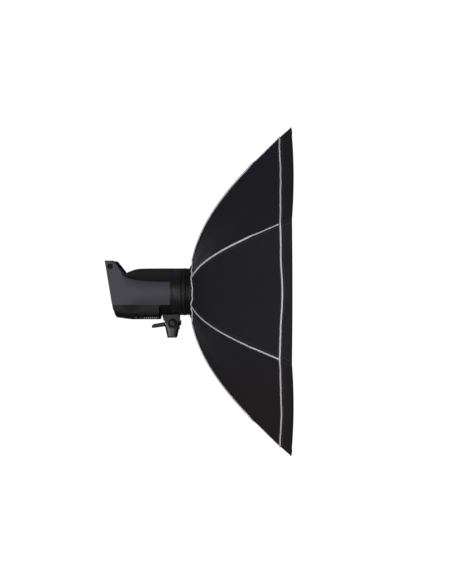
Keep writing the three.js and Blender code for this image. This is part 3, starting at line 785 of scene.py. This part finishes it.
make_canopy()
make_rib_piping()
make_hub()
make_diffuser("front_diffuser", FRONT_DIFFUSER_X, FRONT_DIFFUSER_RADIUS)
make_diffuser("inner_diffuser", INNER_DIFFUSER_X, INNER_DIFFUSER_RADIUS)


# ------------------------------------------------------------ flash head: casing

WALL = 3.0
DRUM_REAR = -5.0
SIDE_BOTTOM = 97.0
REAR_LINE = ((60, -163.8), (66, -166.4), (73, -168.4), (81, -170.4), (133.5, -179.4), (226, -194.9))
SIDE_SLOPE = ((-194.9, 226), (-172.8, 225.7), (-168.9, 222.4), (-147, 193.4))
SIDE_CURVE = ((-147, 193.4), (-140.2, 181.9), (-130.5, 176.3), (-116.3, 171.3), (-93.8, 167.2),
              (-65.4, 164.5), (-35, 163.6), (-5, 163.5))
CROWN = ((-137, 190.6), (-127, 195.2), (-118, 198.6), (-109, 201.3), (-100, 202.7), (-91, 203.2),
         (-65, 203.8), (-5, 204))
KEEL = ((-170.4, 81), (-168.4, 73), (-166.2, 66), (-163.6, 61.2), (-160.4, 59.4), (-150, 58), (-135, 55.9),
        (-122, 54.4), (-110, 54), (-37.3, 54))
BELLY_FRONT, BELLY_BOTTOM = KEEL[-1]
DRUM_SEAM = SIDE_CURVE[-1][1]  # height of the seam between a side and the top cover over the drum
BOX_HALF_WIDTH = 68.0
HOOD_REAR = -137.0
SADDLE_HEIGHT = 168.0
CHEEK_INSIDE = 54.6
GRIP_MIDDLE = (-178.0, 212.2)
RECESS = (-178.6, 209.2)  # of the screw through each cheek into the grip
GRIP_CUP = ((58.3, 0), (58.3, 7.95), (66.1, 7.95), (66.4, 7.6), (66.1, 7.2), (59.6, 7), (59.3, 6.6),
            (59.3, 0))
GRIP_SCREW = ((59.4, 0), (59.4, 4.6), (60.6, 4.6), (61, 4.2), (61, 2.3), (60, 2.2), (60, 0))
# outline of the black plates on the cheeks' inner faces: partly a liner, partly painted shade where shade
# falls
LINER_AND_SHADE = ((-184.5, 166), (-194, 224.2), (-193, 225.5), (-171, 226.2), (-166.2, 223.2), (-144.2, 195.4),
         (-138, 185), (-132, 179), (-132, 166))

side_curve = smooth_line(SIDE_CURVE, 8)
crown_line = smooth_line(CROWN, 8)
keel_line = smooth_line(KEEL, 6)
side_top = spread(np.vstack([SIDE_SLOPE[:-1], side_curve]), 120)


def rear_x(height):
    return np.interp(height, *np.array(REAR_LINE).T)


def half_width(x, z):
    """Half the casing's width: a round drum in front, boxy towards the back."""
    off = np.asarray(z, float) - AXIS
    drum = np.sqrt(np.maximum(BARREL_RADIUS**2 - off**2, 0))
    above = BOX_HALF_WIDTH * (1 - np.clip(off / 125, 0, 1) ** 5) ** 0.2
    below = BOX_HALF_WIDTH * (1 - np.clip(-off / 81, 0, 1) ** 4) ** 0.25
    return lerp(drum, np.where(off > 0, above, below), 1 - smooth_step(-150, -85, x))


def offset(points, distance, inside):
    """A grid of points moved along its normals towards a place inside."""
    normals = unit(np.cross(np.gradient(points, axis=0), np.gradient(points, axis=1)))
    turn = np.sign(((inside - points) * normals).sum(-1, keepdims=True))
    return points + normals * turn * distance


def cut(piece, cutter):
    """Takes another shape out of a piece."""
    tool = bpy.data.objects.new("cutter", cutter.mesh("cutter"))
    bpy.context.scene.collection.objects.link(tool)
    step = piece.modifiers.new("cut", "BOOLEAN")
    step.object = tool
    step.solver = "EXACT"
    bpy.context.view_layer.update()
    graph = bpy.context.evaluated_depsgraph_get()
    whole, left = piece.data, bpy.data.meshes.new_from_object(piece.evaluated_get(graph))
    piece.modifiers.clear()
    piece.data = left
    left.name = piece.name
    left.polygons.foreach_set("use_smooth", [True] * len(left.polygons))
    bpy.data.objects.remove(tool)
    bpy.data.meshes.remove(whole)


def make_sides():
    for label, side in (("near", -1), ("far", 1)):
        z = lerp(SIDE_BOTTOM, side_top[None, :, 1], np.linspace(0, 1, 44)[:, None])
        start = rear_x(side_top[:, 1])
        share = (side_top[:, 0] - start) / (DRUM_REAR - start)
        x = lerp(rear_x(z), DRUM_REAR, share[None, :])
        outer = half_width(x, z)
        cheek = smooth_step(165, 171, z) * (1 - smooth_step(-131, -124, x))
        inner = lerp(outer - WALL, CHEEK_INSIDE, cheek)
        outside, inside = (np.stack([x, side * y, z], axis=-1) for y in (outer, inner))
        shell = Shape().slab(outside, inside)
        piece = shell.made(f"side_shell_{label}_casing", grey_plastic, "head", "grey_plastic")
        cut(piece, Shape().grid(recess_ring([(58.2, 8), (70, 8)], side), wrap=True, caps=True))
        bevel(piece, 1.1, 3, 42)
        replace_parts(piece, f"side_shell_{label}")
        for name, profile in (("cup", GRIP_CUP), ("screw", GRIP_SCREW)):
            crisp(looped(f"grip_{name}_{label}", recess_ring(profile, side), belly_plastic))


def recess_ring(profile, side):
    """A profile of [out from the middle, radius], turned about the recess of one cheek."""
    outwards = [(side * out, radius) for out, radius in profile]
    return ring_points(outwards, 40, "y", (RECESS[0], 0, RECESS[1]))


def crown_section(x, count, half=None):
    """Points across the top cover at one x, from one side to the other."""
    edge_z = np.interp(x, *side_curve.T)
    edge_y = float(half_width(x, edge_z))
    crown_z = np.interp(x, *crown_line.T)
    limit = math.acos((DRUM_SEAM - AXIS) / BARREL_RADIUS)
    reach = limit if half is None else math.asin(half * math.sin(limit) / edge_y)
    turn = np.linspace(-reach, reach, count)
    y = edge_y * np.sin(turn) / math.sin(limit)
    z = edge_z + (crown_z - edge_z) * (np.cos(turn) - math.cos(limit)) / (1 - math.cos(limit))
    return np.stack([np.full(count, x), y, z], axis=1)


def make_top():
    """Top cover: the hood over the drum, the saddle between the handle's cheeks and their black liners, which
    are partly painted shade.
    """
    places = np.concatenate([np.linspace(HOOD_REAR, -88, 28), np.linspace(-85, -5.4, 20)])
    hood = np.array([crown_section(x, 49) for x in places])
    shape = Shape().slab(hood, offset(hood, WALL, hood * np.array([1, 0, 0]) + np.array([0, 0, AXIS])))
    behind = crown_section(HOOD_REAR, 33, CHEEK_INSIDE - 1.5)
    places = np.concatenate([np.linspace(HOOD_REAR - 0.4, -150, 16), np.linspace(-154, -185.4, 10)])
    saddle = np.tile(behind, (len(places), 1, 1))
    saddle[..., 0] = places[:, None]
    drop = smooth_step(0, 12, HOOD_REAR - places)
    saddle[..., 2] = lerp(SADDLE_HEIGHT, saddle[..., 2], 1 - drop[:, None])
    shape.slab(saddle, offset(saddle, WALL, saddle * np.array([1, 1, 0]) + np.array([-8, 0, 100])))
    piece = shape.made("top_cover_casing", black_plastic, "head", "black_plastic")
    bevel(piece, 1.0, 3, 42)
    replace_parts(piece, "top_cover")
    # the black liners are partly painted shade: they darken the cheeks' inner faces, where shade falls, as
    # well as lining them
    for label, side in (("near", -1), ("far", 1)):
        plate = [np.insert(np.array(LINER_AND_SHADE), 1, side * level, axis=1)
                 for level in (CHEEK_INSIDE - 1.4, CHEEK_INSIDE + 0.4)]
        piece = looped(f"cheek_liner_and_shade_{label}", plate, black_plastic, caps=True)
        bevel(piece, 0.5, 2, 42)


def keel_section(x, count):
    """Points under the casing at one x, from the near side's seam to the far side's."""
    bottom = np.interp(x, *keel_line.T) if x < BELLY_FRONT else BELLY_BOTTOM
    edge = float(half_width(x, SIDE_BOTTOM))
    turn = np.linspace(0, math.pi, 721)
    across = edge * rounded(np.cos(turn), 0.5)
    down = SIDE_BOTTOM - (SIDE_BOTTOM - bottom) * np.sin(turn) ** 0.5
    boxy = spread(np.stack([-across, down], axis=1), count)
    low = math.asin((AXIS - SIDE_BOTTOM) / BARREL_RADIUS)
    sweep = np.linspace(low, math.pi - low, count)
    drum = np.stack([-BARREL_RADIUS * np.cos(sweep), AXIS - BARREL_RADIUS * np.sin(sweep)], axis=1)
    flat = lerp(boxy, drum, float(np.clip((x - BELLY_FRONT) / 4.7, 0, 1)))
    return np.column_stack([np.full(count, x), flat])


SLOTS = np.linspace(-86.5, -39.5, 9)  # vents through the belly's bottom
SLOT = 1.35  # half a vent's width
LOUVRES = np.linspace(-107, -77, 7)  # and short ones up its sides
LOUVRE = 0.8
BELLY_SCREWS = ((-103, 3.6), (-90.5, 2.6))  # x and radius


def make_bottom():
    """Bottom cover: the boxy belly with its vents, and the round part under the drum."""
    places = np.concatenate([np.linspace(-170.4, -159, 15), np.linspace(-154, -112, 12), [BELLY_FRONT],
                             [-36.2, -35, -33.8, -32.6], np.linspace(-30, -5.4, 7),
                             SLOTS - SLOT, SLOTS + SLOT, SLOTS - SLOT - 1, SLOTS + SLOT + 1,
                             LOUVRES - LOUVRE, LOUVRES + LOUVRE])
    skin = np.array([keel_section(x, 97) for x in np.unique(np.round(places, 3))])
    shape = Shape().grid(skin)

    def closed(face):
        x, _, z = np.mean([shape.points[n] for n in face], axis=0)
        in_slot = z < 60.2 and np.min(np.abs(SLOTS - x)) < SLOT
        in_louvre = 65 < z < 73 and np.min(np.abs(LOUVRES - x)) < LOUVRE
        return not (in_slot or in_louvre)

    shape.faces = [face for face in shape.faces if closed(face)]
    piece = shape.made("bottom_cover_casing", belly_plastic, "head", "black_plastic")
    face_outwards(piece, (0, 0, -1))
    thicken(piece, WALL)
    bevel(piece, 0.45, 2, 50)
    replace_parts(piece, "bottom_cover")
    for label, side in (("near", -1), ("far", 1)):
        for n, (x, radius) in enumerate(BELLY_SCREWS):
            profile = [(57.4, 0), (57.4, radius), (62.4, radius), (63.2, radius * 0.7), (63.2, 0)]
            rows = ring_points([(side * out, r) for out, r in profile], 24, "y", (x, 0, 61.0))
            looped(f"belly_screw_{label}_{n + 1}", rows, gloss_black)


def make_grip():
    """Rounded grip between the handle's cheeks, with finger waves under it."""
    turn = np.linspace(0, 2 * math.pi, 40, endpoint=False)
    c, s = rounded(np.cos(turn), 0.72), rounded(np.sin(turn), 0.72)
    half = CHEEK_INSIDE - 0.3
    rows = []
    for y in np.linspace(-half, half, 49):
        wave = 0.9 * math.cos(y / half * math.pi * 4) + 0.9
        swell = 1 - 0.05 * (y / half) ** 2
        z = GRIP_MIDDLE[1] + 12.6 * s + np.where(np.sin(turn) < -0.2, wave * (-np.sin(turn) - 0.2), 0)
        rows.append(np.stack([GRIP_MIDDLE[0] + 13.2 * swell * c, np.full(40, y), z], axis=1))
    piece = crisp(looped("handle_grip_cover", rows, soft_grip, "soft_grip", caps=True))
    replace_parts(piece, "handle_grip")


make_sides()
make_top()
make_bottom()
make_grip()


# ------------------------------------------------------------ flash head: drum, collar and bayonet

DRUM_SCREW = (2.5, 76.5)
DRUM = ((-5, 64), (22.4, 64), (22.4, 58), (41.2, 58), (41.2, 61.6), (27.3, 61.6),
        (27.3, BARREL_RADIUS - 1.4), (26.2, BARREL_RADIUS - 0.2), (2.6, BARREL_RADIUS),
        (1.7, BARREL_RADIUS - 0.9), (0.9, BARREL_RADIUS), (-5, BARREL_RADIUS))
COLLAR = ((27.6, 62.2), (40.8, 62.2), (40.8, 67.6), (39.6, 69.4), (37.6, 69.4), (36.9, 68.5), (36.2, 69.4),
          (31.0, 69.4), (30.3, 68.5), (29.6, 69.4), (28.4, 69.4), (27.6, 68.2))
BAYONET_RIM = ((41.6, 58.2), (50.8, 58.2), (50.8, 67.6), (49.6, 68.9), (47.4, 68.9), (47.1, 67.6),
               (46.1, 67.6), (45.8, 68.9), (42.6, 68.9), (41.6, 67.9))


def make_lamp_end():
    def on_axis(name, profile, look, body, slot, segments, node, ripple=None):
        piece = turned(name, profile, look, body, slot, segments, centre=(0, 0, AXIS), ripple=ripple)
        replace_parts(piece, node)
        return piece

    drum = rounded_profile(DRUM, 0.7)
    bayonet = rounded_profile(BAYONET_RIM, 0.4)
    crisp(on_axis("front_barrel_drum", drum, barrel_plastic, "head", "black_plastic", 128, "front_barrel"))
    crisp(on_axis("bayonet_ring_rim", bayonet, black_metal, "head", "black_metal", 128, "bayonet_ring"))
    collar = rounded_profile(COLLAR, 0.5, 2)

    def grip(row, turn):
        x, radius = collar[row % len(collar)]
        on_band = radius >= 69.2 and 30.6 < x < 36.6
        return -0.9 * (0.5 - 0.5 * np.cos(turn * 72)) ** 2 * on_band

    on_axis("locking_collar_ring", collar, black_metal, "locking_collar", "black_metal", 288,
            "locking_collar", grip)
    for label, side in (("near", -1), ("far", 1)):
        drum_screw(f"drum_screw_{label}", side)


def drum_screw(name, side):
    """A sunk screw low on the drum."""
    x, z = DRUM_SCREW
    away = Vector((0, side * math.sqrt(BARREL_RADIUS**2 - (z - AXIS) ** 2), z - AXIS)).normalized()
    profile = [(-4, 0), (-4, 3.6), (0.3, 3.6), (0.7, 3.1), (0.7, 1.7), (-0.6, 1.5), (-0.6, 0)]
    turn = Vector((0, 0, 1)).rotation_difference(away).to_matrix()
    place = Vector((x, 0, AXIS)) + away * BARREL_RADIUS
    looped(name, ring_points(profile, 28, "z") @ np.array(turn).T + np.array(place), gloss_black)


make_lamp_end()


# ------------------------------------------------------------ flash head: rear panel

TILT = math.atan((179.4 - 170.2) / (133.5 - 81))
PANEL = np.array([-177.44, 0.0, 123.5])
BUTTONS = ((-33, 4), (-19, 4), (-5, 4), (9, 4))  # [across, up] on the panel, as are the rest
DISPLAY = (-12, 24)
INLET = (2, -24)
PINS = ((-2.6, -22), (6.6, -22), (2, -26))
PIN_HALF = np.array([0.9, 2.1])
DIAL = (34, 16)
PANEL_SCREWS = ((-54, 37), (54, 37), (-54, -37), (54, -37))


def on_panel(points):
    """From the panel's own frame, [into the head, across, up the slope], to the part's."""
    points = np.asarray(points, float)
    c, s = math.cos(TILT), math.sin(TILT)
    x = points[..., 0] * c - points[..., 2] * s
    z = points[..., 0] * s + points[..., 2] * c
    return np.stack([x, points[..., 1], z], axis=-1) + PANEL


def rounded_box(half_y, half_z, power, count):
    """An outline between a rectangle and an ellipse."""
    turn = np.linspace(0, 2 * math.pi, count, endpoint=False)
    c, s = np.cos(turn), np.sin(turn)
    reach = (np.abs(c / half_y) ** power + np.abs(s / half_z) ** power) ** (-1 / power)
    return np.stack([reach * c, reach * s], axis=1)


def panel_rim(name, look, outer, inner, depth, proud, at=(0, 0), count=96, round_off=1.0):
    """A rim on the panel between two outlines, each given as [half across, half up, squareness]."""
    rows = []
    for x, share in ((depth, 0), (-proud + round_off, 0), (-proud, 0.18), (-proud, 0.82),
                     (-proud + round_off, 1), (depth, 1), (depth, 0)):
        outline = lerp(rounded_box(*outer, count), rounded_box(*inner, count), share) + at
        rows.append(np.insert(outline, 0, x, axis=1))
    crisp(looped(name, on_panel(rows), look))


def make_rear():
    panel_rim("rear_bezel", black_plastic, (65.4, 43.6, 9), (58.2, 40.6, 12), 6, 0.4)
    panel_rim("display_bezel", gloss_black, (28.4, 13.2, 8), (25.6, 10.6, 10), 1.4, 1.0, DISPLAY)
    panel_rim("inlet_surround", gloss_black, (16.4, 13.2, 8), (13.9, 10.9, 10), 1.4, 0.7, INLET, 64)
    for n, place in enumerate(BUTTONS):
        button = f"push_button_{n + 1}"
        rows = [np.insert(rounded_box(5 * grow, 3 * grow, 4.5, 40) + place, 0, x, axis=1) for x, grow in
                ((3.6, 1), (-0.9, 1), (-1.5, 0.93), (-1.8, 0.8), (-1.62, 0.4), (-1.6, 0.02))]
        cap = looped(f"push_button_cap_{n + 1}", on_panel(rows), soft_grip, "soft_grip", button, caps=True)
        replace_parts(crisp(cap), button)
        panel_rim(f"button_well_{n + 1}", gloss_black, (6.6, 4.6, 5), (5.4, 3.4, 5), 1.4, 0.3, place, 48, 0.3)
    pins = Shape()
    corners = np.array([(-1, -1), (1, -1), (1, 1), (-1, 1)]) * PIN_HALF
    for place in PINS:
        blade = [np.insert(corners + place, 0, x, axis=1) for x in (15.6, 4.0)]
        pins.grid(on_panel(blade), wrap=True, caps=True)
    pins.made("inlet_pins", bare_aluminium, "head", "bare_aluminium")
    for n, place in enumerate(PANEL_SCREWS):
        profile = [(1.6, 0), (1.6, 2.8), (0.9, 2.8), (0.5, 2.3), (0.5, 1.2), (1.1, 1.1), (1.1, 0)]
        screw = on_panel(ring_points(profile, 24, "x", (0, *place)))
        looped(f"panel_screw_{n + 1}", screw, rod_steel, "bare_aluminium")
    section = [(1.5, 13.4), (0.7, 13.4), (0.5, 12.6), (0.7, 11.8), (1.5, 11.8), (1.5, 13.4)]
    ring = on_panel(ring_points(section, 60, "x", (0, *DIAL)))
    looped("dial_ring", ring, bare_aluminium, "bare_aluminium")


make_rear()


# ------------------------------------------------------------ tilt bracket

TILT_CAP = ((-21.9, 0), (-21.9, 12.6), (-22.3, 13.05), (-23.6, 13.05), (-24.2, 12.4), (-24.4, 11.4),
            (-25.3, 10.7), (-26.4, 8.6), (-27.1, 5.6), (-27.4, 2.4), (-27.45, 0))
RECEIVER_HALF = 15.0
RECEIVER_ROUND = 18.8
RECEIVER = ((0, -15.6, 10.8), (0.5, -16.2, 11.4), (1.4, -16.6, 11.9), (6, -17.8, 13.6), (17, -20.2, 15.7),
            (26, -22.2, 17.3), (28.5, -22.7, 17.6), (31, -23.1, 16.6), (34, -23.5, 16.6), (37, -23.4, 17.8),
            (39.4, -22.2, 18.4), (43, -19.9, 18.8))  # its outline, [height, from x, to x]
RECEIVER_PIN = ((-21.5, 0), (-21.5, 7.2), (-20.7, 8), (20.7, 8), (21.5, 7.2), (21.5, 0))
SOCKET = 8.2
BOSS_HEIGHT = 36.6
BOSS = ((12, 1), (18.9, 1), (19.7, 0.96), (20, 0.88), (20, 0.4), (18.4, 0.38), (18.4, 0.02))  # x, growth
LEVER_SLOPE = math.radians(8.9)
LEVER_TIP = -66
LEVER_HUB = ((22.0, 0), (22.0, 10.2), (22.6, 10.9), (30.8, 10.9), (32.4, 10.0), (33.3, 7.8), (33.4, 4.6),
             (32.6, 4.2), (32.6, 0))
KNOB = ((9.3, 0), (9.3, 2.4), (9.9, 3.0), (20.3, 3.0), (20.3, 5.0), (20.7, 6.4), (21.0, 7.7), (21.5, 7.95),
        (23.4, 7.95), (24.0, 7.6), (24.3, 6.4), (24.35, 3.6), (24.0, 3.4), (24.0, 0))


def make_cap():
    piece = turned("tilt_cap_dome", TILT_CAP, black_plastic, "head", "black_plastic", 64,
                   "y", (0, 0, PIVOT))
    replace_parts(piece, "tilt_cap")


def make_receiver():
    """Stand receiver: a tapered column with a socket, a round top in the fork and a boss for the knob."""
    profile = list(RECEIVER)
    for angle in np.linspace(0.14, math.pi / 2, 14)[:-1]:
        reach = RECEIVER_ROUND * math.cos(angle)
        profile.append((PIVOT + RECEIVER_ROUND * math.sin(angle), -reach, reach))
    turn = np.linspace(0, 2 * math.pi, 64, endpoint=False)
    c, s = np.cos(turn), np.sin(turn)
    rows = [np.column_stack([radius * c, radius * s, np.full(64, z)])
            for z, radius in ((50, 0.1), (50, SOCKET), (1.0, SOCKET), (0, SOCKET + 1.0))]
    for z, low, high in profile:
        deep = RECEIVER_HALF - (0.9 if z < 0.4 else 0.3 if z < 1 else 0)
        power = lerp(4.6, 8.0, float(np.clip((z - 24) / 10, 0, 1)))
        outline = rounded_box((high - low) / 2, deep, power, 64) + ((low + high) / 2, 0)
        rows.append(np.insert(outline, 2, z, axis=1))
    rows.append(np.column_stack([0.1 * c, RECEIVER_HALF * s, np.full(64, PIVOT + RECEIVER_ROUND)]))
    shape = Shape().grid(rows, wrap=True)
    shape.grid(ring_points(RECEIVER_PIN, 40, "y", (0, 0, PIVOT)), wrap=True)
    piece = crisp(shape.made("stand_receiver_body", cast_black, "receiver", "black_metal"))
    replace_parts(piece, "stand_receiver")
    boss = [np.insert(rounded_box(9 * grow, 12.4 * grow, 4, 40) + (0, BOSS_HEIGHT), 0, x, axis=1)
            for x, grow in BOSS]
    crisp(looped("receiver_boss", boss, cast_black, "black_metal", "receiver", caps=True))


def make_lever():
    """Clamp lever: a drop-shaped handle that thins towards a round tip, and its hub."""
    turn = np.linspace(0, 2 * math.pi, 28, endpoint=False)
    c, s = rounded(np.cos(turn), 0.85), rounded(np.sin(turn), 0.85)
    rows = []
    for share in np.concatenate([[0, 0.01, 0.025, 0.05], np.linspace(0.08, 1, 22)]):
        along = lerp(LEVER_TIP, 4, share)
        tip = max(math.sqrt(max(0.0, 1 - (1 - min(share / 0.085, 1)) ** 2)), 0.02)
        y = 28.4 + 0.8 * math.sin(share * math.pi) + lerp(3.0, 3.6, share) * tip * c
        z = lerp(6.0, 7.4, share) * tip * s
        x = along * math.cos(LEVER_SLOPE) + z * math.sin(LEVER_SLOPE)
        rise = along * math.sin(LEVER_SLOPE) + z * math.cos(LEVER_SLOPE)
        rows.append(np.stack([x, y, PIVOT + rise], axis=1))
    shape = Shape().grid(rows, wrap=True, caps=True)
    shape.grid(ring_points(LEVER_HUB, 56, "y", (0, 0, PIVOT)), wrap=True)
    piece = crisp(shape.made("tilt_lever_handle", black_plastic, "tilt_lever", "black_plastic"))
    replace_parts(piece, "tilt_lever")


def make_knob():
    """Lock screw with a knurled knob."""
    def knurl(row, turn):
        return -0.55 * (0.5 - 0.5 * np.cos(turn * 18)) * (KNOB[row][1] > 7)

    piece = turned("stand_lock_knob", KNOB, gloss_black, "stand_lock", "black_plastic", 144,
                   centre=(0, 0, PIVOT + 1), ripple=knurl)
    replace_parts(crisp(piece), "stand_lock_screw")


make_cap()
make_lever()
make_knob()
make_receiver()


# ------------------------------------------------------------ CAD nodes that stay

def keep(node, look, edge):
    """A CAD node with its own shape, softened edges and a finished material."""
    piece = nodes[node]
    piece.data.polygons.foreach_set("use_smooth", [True] * len(piece.data.polygons))
    piece.data.materials.clear()
    piece.data.materials.append(look.material)
    weld = piece.modifiers.new("weld", "WELD")
    weld.merge_threshold = WELD * MM
    bevel(piece, edge, 2)


for k in range(1, SIDES + 1):
    keep(f"rod_{k}", rod_steel, 0.2)
    keep(f"rod_holder_{k}", black_plastic, 0.4)
for node, look, edge in (
    ("speedring_insert", black_metal, 0.7), ("speedring_rotor", black_metal, 0.4),
    ("lamp_base", ceramic, 0.6), ("glass_dome", lamp_glass, 0.2), ("flash_tube", lamp_glass, 0.2),
    ("modelling_lamp", lamp_glass, 0.3), ("rear_panel", black_plastic, 0.5),
    ("display_window", dark_window, 0.4), ("control_dial", soft_grip, 0.4),
    ("power_switch", gloss_black, 0.8), ("mains_inlet", black_plastic, 0.6),
    ("sync_socket", bare_aluminium, 0.3), ("chassis_plate", bare_aluminium, 0.3),
    ("capacitor_bank", sleeve_blue, 0.8), ("circuit_board", circuit_laminate, 0.2),
    ("fan_frame", black_plastic, 0.6), ("fan_rotor", black_plastic, 0.4),
    ("tilt_fork", black_metal, 1.2),
):
    keep(node, look, edge)


# ------------------------------------------------------------ studio

ROOM_LIGHT = 0.17
FLOOR_HEIGHT = -1.6
LIGHTS = (  # name, place, target, size, power in watts
    ("front", (-1.3, -4.3, 0.3), (0.0, 0.0, 0.15), 1.8, 140),
    ("low_fill", (0.6, -3.2, -1.3), (0.1, 0.0, 0.1), 1.6, 54),
    ("rear_side", (-2.2, 4.6, 0.2), (0.0, 0.0, 0.15), 2.4, 120),
    ("face", (4.2, -0.6, 1.2), (0.2, 0.0, 0.15), 2.4, 150),
    ("overhead", (-0.8, 0.4, 4.2), (0.0, 0.0, 0.15), 2.6, 14),
)
CAMERA = Vector((0.3115, -4.70, 0.1343))
CAMERA_TARGET = Vector((0.156, 0, 0.1343))


def aimed(name, data, place, target):
    """A lamp or camera at a place, turned towards a target."""
    thing = bpy.data.objects.new(name, data)
    thing.location = place
    thing.rotation_euler = (Vector(target) - Vector(place)).to_track_quat("-Z", "Y").to_euler()
    bpy.context.scene.collection.objects.link(thing)
    return thing


def make_world():
    """White behind the object, and a much dimmer room round it, so that black shapes keep their form."""
    world = bpy.data.worlds.new("studio")
    bpy.context.scene.world = world
    world.use_nodes = True
    tree = world.node_tree
    tree.nodes.clear()
    output = tree.nodes.new("ShaderNodeOutputWorld")
    mixer = tree.nodes.new("ShaderNodeMixShader")
    seen = tree.nodes.new("ShaderNodeLightPath").outputs["Is Camera Ray"]
    tree.links.new(seen, mixer.inputs[0])
    for socket, strength in ((1, ROOM_LIGHT), (2, 1.05)):
        background = tree.nodes.new("ShaderNodeBackground")
        background.inputs[0].default_value = (1, 1, 1, 1)
        background.inputs[1].default_value = strength
        tree.links.new(background.outputs[0], mixer.inputs[socket])
    tree.links.new(mixer.outputs[0], output.inputs[0])


def make_studio():
    place = (0, 0, FLOOR_HEIGHT)
    bpy.ops.mesh.primitive_circle_add(vertices=96, radius=60, fill_type="NGON", location=place)
    floor = bpy.context.object
    floor.name = "studio_floor"
    paper = Look("studio_paper", 0.9, specular=0.1, Emission_Color=(1, 1, 1, 1), Emission_Strength=0.98)
    paper.color(paper.mix(paper.noise(400, 2), [0.83, 0.83, 0.83], [0.86, 0.86, 0.86]))
    floor.data.materials.append(paper.material)
    floor.visible_diffuse = False
    floor.visible_glossy = False
    for name, place, target, size, power in LIGHTS:
        data = bpy.data.lights.new(name, "AREA")
        data.shape = "SQUARE"
        data.size = size
        data.energy = power
        aimed(name, data, place, target)


def make_camera():
    data = bpy.data.cameras.new("camera")
    data.lens = 98.6
    bpy.context.scene.camera = aimed("camera", data, CAMERA, CAMERA_TARGET)
    bpy.context.scene.view_settings.view_transform = "Standard"


make_world()
make_studio()
make_camera()
